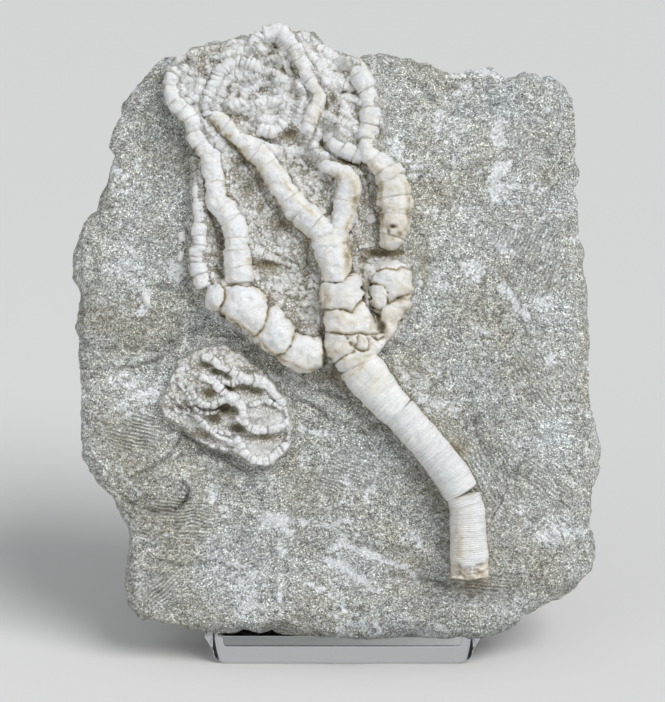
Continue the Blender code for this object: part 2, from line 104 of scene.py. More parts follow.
SLAB_RIGHT = [
    (592, 571), (594, 565), (595, 556), (594.5, 544), (593, 534), (590, 526), (590.5, 509), (591, 489),
    (595, 485), (596, 473), (595.5, 455), (593, 430), (591, 407), (589, 389), (590, 371), (588, 351),
    (585, 330), (586, 300), (584, 280), (582, 265), (578, 245), (577, 232), (579, 215), (577, 202),
    (574, 187), (576, 168), (572, 155), (568, 132), (568, 120), (567, 103), (563, 93), (557, 86)]
SLAB_BOTTOM = [
    (140, 614), (142, 615.5), (162, 624), (181, 626), (204, 627), (228, 629.7), (244, 627), (258, 632),
    (271, 627), (287, 632), (300, 636.4), (341, 638), (367, 639.6), (405, 638), (448, 639.6), (461, 636.4),
    (469, 639.6), (483, 638.6), (492, 632), (501, 630), (515, 623), (521.6, 612), (536, 608), (541, 605),
    (550, 603), (563, 593.6), (568, 591.6), (576, 587), (584, 578), (592, 571)]
SLAB_OUTLINE = SLAB_BOTTOM + SLAB_RIGHT[1:] + SLAB_TOP[::-1][1:] + SLAB_LEFT[::-1][1:]
SLAB_SPANS = (143, 163)  # width and height of its face in mm, for the number of cells
SLAB_MIDDLE = (0.0, 82.0)  # face mm

# Broad forms of the bare stone: layout x, y, half-lengths along x and y, height mm.
STONE_FORMS = [
    (480, 592, 75, 14, -2.2), (165, 494, 34, 20, 2.2), (135, 150, 26, 60, -1.0), (110, 372, 30, 26, 1.2),
    (150, 585, 40, 26, -1.0), (300, 585, 70, 30, 0.9), (520, 330, 40, 90, 0.8), (470, 110, 60, 40, -0.8),
    (345, 378, 26, 14, -1.6), (180, 128, 16, 34, -1.4), (228, 338, 26, 10, -0.9), (430, 300, 14, 40, -0.8)]

# Creases and small ledges: width mm, depth mm, step mm (ground to the left of the line is lower), points.
CREASES = [
    (0.9, 0.5, 0.5, [(84, 345), (100, 351), (120, 347), (140, 349), (160, 352), (172, 348)]),
    (0.8, 0.5, -0.4, [(165, 345), (180, 336), (195, 330), (206, 325)]),
    (0.7, 0.4, 0.3, [(158, 287), (172, 288), (186, 281), (200, 275)]),
    (0.6, 0.35, 0.2, [(142, 268), (150, 263), (160, 272)]),
    (0.5, 0.45, 0.2, [(545, 118), (551, 113), (559, 109)]),
    (0.55, 0.3, -0.4, [(144, 497), (150, 484), (166, 476), (183, 481), (190, 490), (183, 505), (169, 515)]),
    (0.8, 0.5, 0.5, [(183, 428), (179, 440), (168, 456), (150, 468), (130, 478)]),
    (0.8, 0.5, -0.5, [(122, 368), (140, 365), (156, 360), (174, 347)]),
    (0.7, 0.45, 0.5, [(295, 381), (309, 389), (322, 392), (338, 398)]),
    (0.6, 0.4, 0.3, [(183, 454), (205, 452), (222, 457), (240, 470)]),
    (0.5, 0.4, 0.2, [(98, 480), (110, 487), (121, 496)]),
    (0.7, 0.4, 0.5, [(472, 420), (480, 445), (494, 468), (520, 482)]),
    (0.6, 0.35, 0.4, [(425, 95), (445, 112), (470, 118), (500, 104)]),
    (0.8, 0.5, 0.5, [(122, 500), (140, 508), (158, 513), (176, 509), (190, 500)]),
    (0.7, 0.35, 0.3, [(163, 430), (180, 434), (196, 443), (214, 452), (232, 458)]),
    (0.6, 0.3, 0.2, [(205, 300), (220, 312), (232, 330), (250, 344), (268, 356)]),
    (0.6, 0.35, 0.2, [(405, 173), (414, 180), (424, 176)]),
    (0.7, 0.35, -0.3, [(300, 400), (318, 408), (330, 420), (350, 424), (372, 436)]),
    (0.7, 0.3, 0.3, [(318, 540), (345, 536), (372, 548), (400, 556), (425, 572)]),
    (0.6, 0.3, 0.3, [(425, 540), (433, 528), (447, 516), (449, 508)]),
    (0.6, 0.3, -0.3, [(160, 560), (185, 566), (215, 560), (240, 572)]),
    (0.7, 0.3, 0.2, [(500, 310), (520, 322), (530, 340)]),
    (0.8, 0.5, 0.5, [(392, 576), (412, 580), (434, 582), (452, 588)])]

# Fine parallel tool ridges, shown in the bump and by painted light and shade: layout x, y, half-lengths,
# direction in degrees, spacing mm, strength 0..1.
TOOL_RIDGES = [
    (128, 432, 36, 22, -16, 1.05, 1.0), (168, 520, 50, 26, -3, 0.95, 0.9), (150, 580, 26, 26, 44, 0.95, 1.0),
    (225, 478, 60, 12, 8, 1.0, 0.5), (250, 560, 40, 26, 20, 1.0, 0.4), (480, 585, 54, 14, -4, 1.0, 0.7),
    (470, 470, 60, 50, -58, 1.15, 0.55), (540, 380, 44, 60, -52, 1.1, 0.65), (530, 250, 44, 70, 62, 1.1, 0.5),
    (340, 470, 50, 26, -20, 1.1, 0.5), (100, 300, 24, 50, 72, 1.1, 0.4), (480, 130, 60, 40, 30, 1.1, 0.4),
    (540, 500, 50, 50, -35, 1.1, 0.5)]

# Pale ghost marks on the stone: width and strength, then layout points.
GHOSTS = [
    (12, 0.9, [(500, 122), (497, 135), (500, 142)]), (14, 0.9, [(503, 165), (496, 176), (495, 190),
    (498, 198)]), (7, 0.8, [(496, 190), (512, 188), (520, 186)]), (8, 0.8, [(530, 186), (540, 192)]),
    (10, 0.45, [(506, 205), (512, 218), (514, 232)]), (9, 0.35, [(495, 245), (512, 252)]),
    (9, 0.75, [(502, 286), (510, 296), (518, 306), (526, 317)]), (8, 0.8, [(463, 266), (464, 267)]),
    (22, 0.4, [(390, 142), (396, 160), (415, 168)]), (14, 0.4, [(430, 270), (444, 284)]),
    (9, 0.9, [(146, 294), (148, 303), (142, 312)]), (26, 0.4, [(120, 380), (150, 392), (128, 405)]),
    (20, 0.35, [(112, 270), (130, 262), (134, 280)]), (16, 0.35, [(115, 170), (125, 188)]),
    (15, 0.9, [(268, 520), (284, 522), (288, 532)]), (6, 0.5, [(279, 540), (283, 556)]), (5, 0.4, [(281, 575),
    (280, 600)]), (8, 0.5, [(450, 74), (475, 71), (498, 76)]), (22, 0.35, [(228, 568), (250, 585)]),
    (8, 1.1, [(328, 560), (345, 568), (360, 580), (376, 590)]), (7, 1.0, [(336, 547), (355, 550), (380, 558),
    (403, 567)]), (6, 0.5, [(405, 566), (418, 582)]), (7, 0.55, [(303, 522), (325, 526), (352, 520)]),
    (8, 0.55, [(300, 580), (318, 588), (335, 598)]), (10, 0.4, [(345, 480), (352, 505)]),
    (10, 0.35, [(372, 485), (368, 500)]), (9, 0.35, [(300, 428), (320, 432), (335, 434)]),
    (10, 0.4, [(425, 365), (438, 375)]), (9, 0.35, [(440, 400), (455, 415)]), (10, 0.35, [(540, 345),
    (552, 362)]), (14, 0.3, [(340, 615), (380, 630)]), (8, 0.35, [(200, 300), (215, 320)]),
    (10, 0.35, [(120, 470), (135, 492)]), (10, 0.3, [(520, 505), (530, 530)]), (12, 0.3, [(470, 85),
    (450, 100), (440, 112)]), (12, 0.35, [(545, 528), (580, 532)]), (12, 0.3, [(128, 88), (140, 96)]),
    (10, 0.3, [(455, 205), (468, 212)]), (10, 0.35, [(128, 240), (134, 258)])]

# Brown sediment, then broad stretches of painted shade and of painted light: layout x, y, half-lengths,
# strength.
SOIL = [
    (455, 448, 16, 9, 0.7), (422, 268, 9, 22, 0.6), (128, 455, 20, 26, 0.35), (470, 585, 60, 10, 0.14),
    (400, 250, 16, 16, 0.6), (415, 375, 20, 14, 0.25), (155, 76, 10, 8, 0.5), (340, 372, 30, 12, 0.4),
    (520, 570, 60, 30, 0.2)]
SHADED = [
    (112, 350, 26, 80, 0.2), (280, 550, 130, 66, 0.13), (200, 590, 80, 30, 0.1), (180, 640, 90, 16, 0.35),
    (370, 640, 160, 22, 0.95), (490, 597, 50, 12, 0.5), (430, 606, 50, 9, 0.35), (200, 170, 12, 34, 0.3),
    (163, 150, 14, 40, 0.35), (196, 330, 16, 12, 0.4), (384, 392, 8, 18, 0.3), (90, 330, 10, 60, 0.2)]
PAINTED_LIGHT = [
    (455, 160, 60, 110, 0.45), (560, 400, 30, 160, 0.3), (110, 395, 34, 24, 0.3), (285, 590, 30, 30, 0.2)]

# ---------------- fossil pieces
# Each node: sides round it; length of an ossicle, plate bulge and groove in mm and how uneven its plates
# are, 0 to 1; then its stations (layout x, y, width mm, height mm).
NO_JOINTS = 60.0  # an ossicle longer than any piece
PLAIN = (NO_JOINTS, 0.0, 0.0, 0.0)
FOSSILS = {
    "stem_lower": (64, PLAIN, [
        (463.5, 497, 8.3, 7.4), (466.5, 511, 8.7, 7.8), (467, 530, 8.9, 8.2), (468.5, 560, 9.6, 8.2),
        (469, 576, 9.8, 7.6)]),
    "stem_middle": (64, PLAIN, [
        (399, 412, 8.5, 7.6), (410, 425, 8.5, 7.6), (422, 438, 8.6, 7.6), (436, 455, 8.8, 7.6),
        (449, 472, 8.9, 7.6), (461, 491.5, 8.7, 7.4)]),
    "stem_upper": (72, PLAIN, [
        (358, 365, 10.6, 8.0), (367, 376, 10.8, 8.3), (378, 390, 10.1, 8.1), (390, 404, 9.2, 7.8),
        (397.5, 411, 8.8, 7.7)]),
    "cup": (88, PLAIN, [
        (356.5, 362, 11.6, 8.9), (352, 349, 13.6, 9.6), (349.5, 338, 14.2, 9.9), (348, 325, 13.4, 10.2),
        (345, 308, 12.8, 9.8), (342, 292, 11.6, 9.6), (338.5, 279, 9.6, 9.0)]),
    "arm_centre": (72, PLAIN, [
        (338, 279, 8.6, 8.6), (335, 262, 8.4, 8.4), (331, 249, 7.8, 8.4), (329, 236, 9.4, 8.5)]),
    "arm_centre_left": (56, (5.2, 0.1, 0.16, 0.25), [
        (324, 233, 7.0, 8.2), (310, 222, 6.8, 7.8), (295, 206, 6.1, 7.4), (283, 190, 5.8, 7.0),
        (273, 172, 5.5, 6.6), (262, 158, 5.5, 6.4), (250, 148, 5.0, 6.0), (240, 140, 4.5, 5.8),
        (228, 128, 4.0, 5.4), (216, 117, 3.6, 5.0)]),
    "arm_centre_curl": (36, (1.6, 0.16, 0.22, 0.8), [
        (211, 113, 3.5, 5.0), (209, 103, 3.5, 5.0), (213, 92, 3.4, 5.0), (217, 82, 3.2, 5.0),
        (221, 72, 3.0, 5.0), (228, 66, 2.9, 5.0), (238, 63, 2.9, 5.0), (248, 65, 2.8, 5.0),
        (258, 68, 2.8, 5.0), (266, 66, 2.8, 4.8), (272, 63, 2.6, 4.6)]),
    "arm_coil_upper": (32, (1.4, 0.16, 0.22, 0.9), [
        (228, 111, 2.8, 4.6), (238, 104, 2.8, 4.6), (246, 97, 2.8, 4.8), (249, 90, 2.8, 4.8),
        (255, 85, 2.8, 4.6), (263, 82, 2.6, 4.4), (271, 80, 2.4, 4.2)]),
    "arm_coil_lower": (32, (1.7, 0.16, 0.22, 0.8), [
        (297, 97, 2.8, 4.4), (292, 110, 3.0, 4.6), (288, 120, 3.0, 4.8), (282, 128, 3.1, 4.8),
        (272, 133, 3.1, 4.8), (262, 131, 2.9, 4.6), (254, 128, 2.6, 4.2)]),
    "arm_crown_loop": (40, (4.6, 0.1, 0.16, 0.5), [
        (265, 36, 3.2, 4.6), (277, 33.5, 3.6, 5.0), (287, 39, 3.8, 5.2), (295, 48, 3.8, 5.4),
        (302, 60, 3.8, 5.6), (309.6, 73.6, 3.7, 5.6), (316, 86, 3.7, 5.6), (318.5, 97, 3.6, 5.6),
        (315, 109, 3.6, 5.6), (312, 120, 3.6, 5.4), (308, 132, 3.5, 5.2), (304, 143, 3.1, 4.8)]),
    "arm_loop_left": (28, (1.7, 0.16, 0.22, 0.9), [
        (260, 36, 2.5, 4.2), (254, 45, 2.5, 4.4), (254, 54, 2.4, 4.2), (258, 60, 2.2, 4.2)]),
    "arm_centre_right": (52, (5.4, 0.1, 0.18, 0.4), [
        (338, 230, 5.6, 8.0), (344, 215, 5.4, 7.6), (347.5, 200, 5.5, 7.4), (349, 187, 5.4, 7.2),
        (346, 176, 4.6, 6.8), (336, 171, 3.0, 6.0), (326, 165.5, 2.5, 5.2), (316, 158, 2.0, 4.6)]),
    "arm_left_base": (84, PLAIN, [
        (322, 353, 8.8, 7.6), (308, 353, 9.6, 8.0), (296, 350, 9.4, 8.0), (288, 345, 9.2, 8.0),
        (277, 335, 10.6, 8.6), (267, 325, 10.0, 8.5), (258, 317, 10.0, 8.6), (248, 307, 11.4, 8.9),
        (236, 300, 10.6, 8.6), (226, 297, 8.2, 7.9), (217, 296, 7.6, 7.6), (208, 294, 6.4, 6.6)]),
    "arm_left_main": (56, (4.4, 0.1, 0.14, 0.35), [
        (241, 282, 7.7, 8.2), (240, 270, 7.5, 8.0), (238, 255, 6.7, 7.4), (237, 240, 6.5, 7.2),
        (235, 225, 6.1, 7.0), (226, 212, 5.8, 6.8), (219, 203, 5.5, 6.6), (216, 192, 5.1, 6.4),
        (215, 180, 4.7, 6.2), (213, 168, 4.4, 6.0), (211, 157, 4.2, 5.8)]),
    "arm_left_tip": (40, (3.2, 0.2, 0.28, 0.9), [
        (207, 151, 4.1, 5.6), (199, 137, 4.1, 5.4), (194, 124, 4.1, 5.4), (187, 113, 4.1, 5.4),
        (178, 103, 3.9, 5.2), (173, 92, 3.8, 5.2), (175, 80, 3.6, 5.0), (181, 70, 3.4, 4.8),
        (189, 60, 3.0, 4.4)]),
    "arm_left_side": (28, (1.9, 0.16, 0.22, 0.9), [
        (189, 103, 2.3, 4.8), (197, 94, 2.3, 4.7), (202, 85, 2.2, 4.6), (207, 76, 2.0, 4.4)]),
    "arm_left_outer": (36, (3.0, 0.22, 0.34, 1.0), [
        (205, 284, 3.8, 5.4), (199, 268, 3.8, 5.2), (199, 254, 3.6, 5.0), (202, 239, 3.2, 4.6),
        (201, 222, 3.0, 4.4), (200, 208, 2.8, 4.0), (199, 195, 2.7, 3.8), (198, 180, 2.4, 3.4),
        (198, 166, 2.2, 3.0)]),
    "arm_right_base": (80, PLAIN, [
        (366, 348, 5.0, 7.6), (373, 340, 6.2, 7.8), (380, 330, 6.6, 7.8), (385, 318, 7.6, 7.8),
        (388, 303, 11.0, 7.9), (391, 287, 11.0, 7.8), (394, 271, 9.8, 7.6), (394.5, 260, 9.0, 7.0)]),
    "arm_right_outer": (60, (4.6, 0.2, 0.26, 0.7), [
        (352, 63, 4.4, 5.0), (359, 76, 4.8, 5.4), (366, 88, 4.9, 5.6), (371, 98, 4.9, 5.8),
        (372, 110, 4.9, 5.8), (371, 122, 4.9, 6.0), (368, 135, 4.5, 6.0), (368, 146, 4.6, 6.2),
        (372, 158, 5.4, 6.8), (383, 170, 6.7, 7.4), (391, 185, 7.3, 7.8), (394, 200, 7.3, 8.0),
        (395, 215, 6.9, 7.8), (394, 230, 6.3, 7.4), (391, 241, 5.4, 6.8), (391, 249, 4.6, 6.0)]),
    "arm_right_side": (44, (3.0, 0.25, 0.34, 0.8), [
        (358, 156, 3.8, 5.4), (347, 151, 4.0, 5.4), (341, 147, 4.1, 5.3), (334, 139, 3.9, 5.0),
        (327, 130, 3.4, 4.6)])}

# Rounding of a piece's start and end in mm, where it isn't a joint's.
JOINT_ROUNDING = (0.4, 0.4)
END_ROUNDING = {
    "arm_right_outer": (0.4, 3.4), "arm_right_base": (1.5, 5.0), "arm_left_base": (0.8, 2.4),
    "arm_left_outer": (0.8, 0.8), "stem_middle": (0.4, 0.9), "stem_lower": (0.5, 0.3), "cup": (2.2, 0.4),
    "stem_upper": (1.0, 0.5), "arm_crown_loop": (1.0, 1.0), "arm_loop_left": (1.0, 0.8)}

# How far a piece is drawn past its first and last station, in mm, to meet its neighbours.
JOINT_OVERLAP = (0.55, 0.55)
JOINT_OVERLAPS = {
    "cup": (1.9, 0.5), "stem_upper": (1.2, 0.5), "stem_middle": (0.5, 0.5), "stem_lower": (0.9, 0.3),
    "arm_centre": (0.5, 1.2), "arm_centre_left": (2.2, 0.9), "arm_centre_right": (2.8, 0.3),
    "arm_centre_curl": (1.1, 0.3), "arm_left_main": (0.5, 1.7), "arm_left_tip": (1.0, 0.3),
    "arm_left_base": (0.7, 0.4), "arm_left_outer": (1.2, 0.3), "arm_right_side": (1.6, 0.3)}

# Free ends that sink into the bed: length in mm over which a piece sinks past its start and its end.
SINKING_ENDS = {
    "arm_right_outer": (5.5, 0), "arm_left_tip": (0, 3.0), "arm_crown_loop": (0, 4.0),
    "arm_coil_upper": (1.5, 3.5), "arm_coil_lower": (3.0, 2.5), "arm_left_side": (0, 2.5),
    "arm_left_outer": (0, 4.5), "arm_loop_left": (0, 2.0), "arm_right_base": (0, 4.2),
    "arm_centre_right": (0, 5.0), "arm_right_side": (0, 2.0), "arm_centre_curl": (0, 4.0)}

# How strongly the fine rings show on each stem piece, 0 to 1.
RING_STRENGTHS = {
    "stem_lower": 0.65, "stem_middle": 0.6, "stem_upper": 0.22}

# Sutures between the large plates, layout units.
SUTURES = [
    [(322, 305), (322.5, 318), (323, 335), (323.5, 350), (323.5, 368)],
    [(349, 342), (355, 347), (354, 352), (344, 356), (332, 365)],
    [(323, 332), (333, 333), (343, 334.5), (352, 335), (360, 333), (368, 335), (384, 333)],
    [(345, 335), (349, 342)],
    [(358, 334), (357, 342), (355, 347)],
    [(367, 335), (370, 342), (368, 350), (361, 351), (355, 348)],
    [(321, 310), (329, 311), (336, 310), (343, 310), (352, 313), (357, 307), (363, 301), (370, 298)],
    [(319, 282), (333, 284), (343, 283), (348, 277), (353, 275)],
    [(275, 357), (284, 355), (291, 346), (295, 336), (298, 326), (290, 316)],
    [(247, 338), (256, 337), (263, 330), (268, 319), (271, 306), (264, 296)],
    [(211, 281), (221, 282), (226, 290), (226, 301), (221, 311)],
    [(224, 286), (236, 285), (248, 286), (260, 283)],
    [(363, 288), (372, 284), (382, 286), (388, 295), (386, 305), (378, 311), (369, 307), (364, 298)],
    [(376, 272), (384, 269), (396, 271), (402, 268), (412, 270)],
    [(386, 305), (392, 302), (400, 299), (410, 295)],
    [(364, 299), (368, 307), (373, 315)],
    [(372, 336), (378, 341), (384, 338)]]
SUTURE_WIDTH = 0.36

# Deep clefts between plates, filled with brown sediment: layout x, y, half-lengths, depth mm.
CLEFTS = [
    (376.5, 317, 3.0, 5.0, 1.4), (380.5, 327, 4.2, 5.0, 1.7), (400, 299, 8.0, 2.2, 0.7),
    (310, 331, 9.0, 3.5, 2.4), (392, 228, 3.0, 1.8, 1.2), (388, 233, 1.6, 3.2, 0.7),
    (321, 372, 4.0, 4.0, 1.0)]

# Ochre lines along the edges of arms and in the ground beside them: width mm, strength, layout points.
LINE_STAINS = [
    (0.9, 1.3, [(211, 121), (223, 134), (234, 147), (243, 156), (255, 167)]),
    (0.7, 0.8, [(255, 167), (264, 179), (274, 197), (284, 212)]),
    (0.6, 0.5, [(233, 124), (248, 137), (262, 150), (276, 166), (290, 186)]),
    (0.95, 0.8, [(344, 175), (353, 184), (355, 200), (351, 216), (345, 232), (344, 250)]),
    (0.8, 0.7, [(318, 262), (319, 280), (320, 300), (322, 322), (323, 345), (322, 366)]),
    (0.7, 0.9, [(214, 306), (226, 316), (243, 327), (258, 338), (270, 351), (284, 361), (304, 369),
        (320, 370)]),
    (0.9, 0.8, [(376, 170), (379, 190), (381, 208), (382, 228), (384, 246)]),
    (0.45, 0.8, [(384, 212), (390, 209), (397, 212), (404, 210)]),
    (0.4, 0.7, [(386, 226), (391, 222), (398, 224), (403, 220)]),
    (0.4, 0.6, [(395, 176), (398, 190), (396, 204), (399, 218), (396, 236)]),
    (0.4, 0.38, [(467, 503), (468, 520), (467, 548)]),
    (0.9, 0.75, [(394, 170), (405, 188), (408, 206), (407, 224), (400, 243)]),
    (0.5, 0.75, [(320, 96), (321, 112), (317, 128), (310, 146)]),
    (0.6, 0.55, [(352, 250), (356, 268), (362, 286), (366, 300)]),
    (0.7, 0.8, [(372, 300), (374, 318), (368, 332), (362, 344)]),
    (0.8, 1.0, [(361, 272), (365, 260), (373, 253), (386, 250), (397, 254)]),
    (0.7, 0.75, [(367, 351), (364, 364), (356, 373), (342, 377)]),
    (0.6, 0.7, [(411, 262), (413, 285), (409, 305), (400, 324), (388, 343)]),
    (0.8, 0.6, [(330, 372), (338, 384), (350, 396)]),
    (0.5, 0.5, [(222, 205), (227, 222), (231, 246), (232, 268), (232, 284)]),
    (0.45, 0.45, [(246, 222), (250, 244), (254, 268), (255, 284)]),
    (0.5, 0.5, [(183, 118), (190, 134), (196, 150), (207, 166)]),
    (0.6, 0.5, [(456, 505), (456, 530), (456, 556), (457, 578)]),
    (0.6, 0.5, [(454, 497), (466, 495), (478, 489)]),
    (0.7, 0.7, [(282, 176), (289, 190), (300, 204), (313, 216), (322, 226)]),
    (0.9, 0.7, [(252, 262), (260, 268), (270, 276)]),
    (0.7, 0.6, [(282, 62), (276, 50), (266, 46)])]

# Ochre stains on the fossil, and painted shade on the stem's top at 374, 380: layout x, y, half-lengths,
# strength.
STAINS_AND_SHADE = [
    (347, 255, 5, 28, 0.85), (357, 235, 5, 25, 0.7), (355, 200, 5, 22, 0.75), (340, 178, 14, 6, 0.6),
    (225, 137, 5, 6, 0.7), (240, 152, 8, 5, 0.8), (262, 168, 6, 7, 0.5), (230, 118, 12, 4, 0.5),
    (392, 211, 10, 3.5, 0.6), (399, 236, 4, 8, 0.8), (393, 220, 12, 3, 0.55), (386, 228, 4, 8, 0.7),
    (396, 176, 9, 4, 0.5), (402, 222, 3, 8, 0.7), (386, 238, 3, 9, 0.6), (380, 190, 3, 18, 0.8),
    (382, 216, 3.5, 16, 0.9), (407, 212, 4, 30, 0.9), (391, 239, 10, 5, 0.6), (394, 200, 9, 12, 0.25),
    (400, 240, 5, 12, 0.5), (457, 538, 5, 26, 0.6), (468, 574, 22, 5, 0.5), (470, 515, 1.2, 10, 0.3),
    (355, 366, 14, 10, 0.45), (330, 355, 7, 12, 0.45), (365, 345, 10, 10, 0.4), (340, 331, 22, 6, 0.45),
    (405, 290, 6, 16, 0.5), (392, 320, 10, 10, 0.5), (318, 100, 6, 30, 0.3), (370, 140, 6, 30, 0.35),
    (372, 168, 10, 8, 0.5), (300, 363, 20, 5, 0.35), (280, 355, 14, 5, 0.4), (325, 300, 3, 40, 0.7),
    (316, 128, 5, 12, 0.5), (270, 152, 10, 5, 0.4), (345, 316, 28, 28, 0.36), (402, 306, 8, 8, 0.75),
    # The patch at 374, 380 is painted shade on the stem's top.
    (374, 380, 16, 13, 0.36), (365, 353, 10, 8, 0.4), (398, 290, 12, 26, 0.3), (386, 318, 10, 14, 0.5),
    (340, 345, 24, 12, 0.36), (350, 325, 26, 6, 0.4), (404, 300, 6, 10, 0.6), (376, 318, 7, 12, 0.8),
    (384, 332, 6, 9, 0.6), (350, 333, 26, 4, 0.5), (328, 300, 4, 14, 0.6), (345, 322, 22, 5, 0.35),
    (366, 296, 3, 12, 0.6), (337, 352, 12, 5, 0.5), (352, 360, 12, 4, 0.55), (323, 330, 4, 30, 0.5),
    (295, 328, 8, 12, 0.35), (262, 320, 8, 18, 0.25), (393, 205, 16, 44, 0.36)]

# Separate plates bedded in the stone: layout x, y, half-lengths in mm, turn in degrees, height in mm.
LOOSE_PLATES = [
    (247, 220, 1.5, 2.1, 20, 2.2), (182, 237, 1.1, 1.5, 10, 1.0), (181, 256, 0.9, 1.5, -15, 1.0),
    (146, 300, 0.9, 2.0, 24, 0.8), (252, 236, 0.8, 1.1, 40, 1.4), (300, 250, 1.0, 1.7, -30, 1.2),
    (283, 243, 0.9, 1.3, 15, 1.0), (316, 262, 0.9, 1.2, 60, 1.0), (463.5, 265, 0.95, 1.0, 0, 0.45),
    (420, 283, 0.7, 0.9, 20, 0.4)]

# ---------------- crown bed, layout units
CROWN = [
    (186, 50), (210, 47), (235, 41), (252, 38), (264, 30), (278, 28), (292, 34), (308, 33), (322, 43),
    (345, 56), (362, 66), (378, 86), (385, 110), (382, 135), (384, 158), (400, 170), (408, 190), (410, 225),
    (404, 250), (413, 262), (413, 292), (404, 322), (388, 345), (360, 360), (318, 366), (282, 358),
    (252, 342), (226, 322), (203, 304), (194, 280), (191, 250), (193, 222), (191, 190), (192, 164),
    (198, 150), (188, 130), (172, 108), (165, 92), (168, 72)]
BED_MARGIN, BED_ROOT = 3.0, -4.0  # mm it reaches past its outline and into the stone
CROWN_HIGH_Y, CROWN_LOW_Y = 128, 178  # the bed is high above the first line, low below the second
CROWN_HIGH, CROWN_LOW = 4.0, 2.1

# Where the bed holds wide plates, and where it is smooth and pale: layout x, y, half-lengths, strength.
WIDE_PLATES = [
    (285, 300, 30, 26, 0.8), (300, 335, 20, 16, 0.7), (345, 115, 20, 30, 0.9), (225, 145, 14, 10, 0.8)]
BED_PALE = [
    (276, 246, 26, 6, 1.6), (290, 244, 12, 5, 0.8), (262, 243, 10, 4, 0.8), (250, 190, 7, 16, 1.2),
    (240, 165, 9, 9, 0.9), (268, 215, 7, 8, 0.7), (252, 192, 6, 14, 0.9), (252, 160, 8, 12, 0.6),
    (308, 40, 16, 8, 0.7), (335, 62, 22, 12, 0.75), (272, 118, 14, 14, 0.35), (262, 104, 18, 6, 0.5),
    (300, 156, 10, 8, 0.8), (200, 70, 6, 14, 0.5), (225, 50, 20, 6, 0.4), (290, 178, 8, 20, 0.45),
    (312, 190, 12, 10, 0.5), (367, 205, 7, 34, 0.5), (305, 316, 16, 12, 0.7), (285, 285, 18, 10, 0.35),
    (262, 232, 16, 8, 0.3), (215, 240, 6, 30, 0.3), (240, 75, 14, 8, 0.4), (330, 112, 8, 18, 0.6),
    (345, 128, 14, 16, 0.6), (390, 262, 14, 8, 0.8), (372, 274, 10, 8, 0.6), (338, 84, 10, 6, 0.7),
    (250, 146, 20, 6, 0.7)]
# Rows of plates in the bed: half width and height in mm, spacing of the joints in mm, then layout points.
CROWN_ROWS = [
    (1.3, 0.9, 1.5, [(262, 50), (265, 44), (272, 41), (280, 43), (284, 50), (282, 58)]),
    (1.0, 0.7, 1.3, [(257, 62), (266, 64), (275, 60), (284, 64), (290, 74)]),
    (1.2, 0.8, 1.7, [(236, 134), (248, 140), (262, 146), (278, 151), (294, 152), (304, 150)]),
    (1.2, 0.8, 1.5, [(222, 94), (226, 84), (234, 77), (247, 75), (260, 73), (275, 74), (284, 80)]),
    (1.2, 0.9, 1.7, [(300, 84), (304, 96), (301, 108), (297, 120)]),
    (1.5, 1.0, 1.9, [(327, 84), (334, 84), (342, 85), (350, 90)]),
    (1.2, 0.8, 1.7, [(326, 116), (334, 121), (343, 124), (352, 128)]),
    (1.4, 1.0, 2.0, [(344, 98), (353, 100), (361, 104)]),
    (1.2, 0.8, 1.7, [(343, 106), (346, 114), (352, 121), (357, 130), (357, 142)]),
    (1.4, 1.1, 2.2, [(319, 134), (315, 143), (315, 152), (320, 158), (328, 157), (336, 154)]),
    (1.5, 1.0, 1.8, [(300, 40), (307, 36), (315, 40), (317, 47)]),
    (1.5, 0.9, 2.1, [(322, 50), (332, 56), (342, 60), (350, 67)]),
    (1.2, 0.8, 1.6, [(312, 60), (321, 66), (328, 74), (340, 77)]),
    (0.8, 0.5, 1.0, [(268, 258), (276, 260), (285, 263), (295, 266)]),
    (1.3, 0.9, 1.7, [(362, 266), (371, 271), (378, 280)]),
    (1.3, 0.9, 1.6, [(184, 80), (190, 84), (190, 92), (184, 97)]),
    (1.3, 0.8, 1.7, [(166, 66), (174, 62), (182, 60)]),
    (1.2, 0.9, 1.6, [(204, 122), (211, 131), (220, 141), (228, 150)]),
    (1.2, 0.8, 1.6, [(255, 106), (266, 101), (278, 104), (283, 113), (277, 122), (264, 121)]),
    (1.0, 0.6, 1.4, [(216, 60), (226, 57), (238, 55), (248, 52)])]
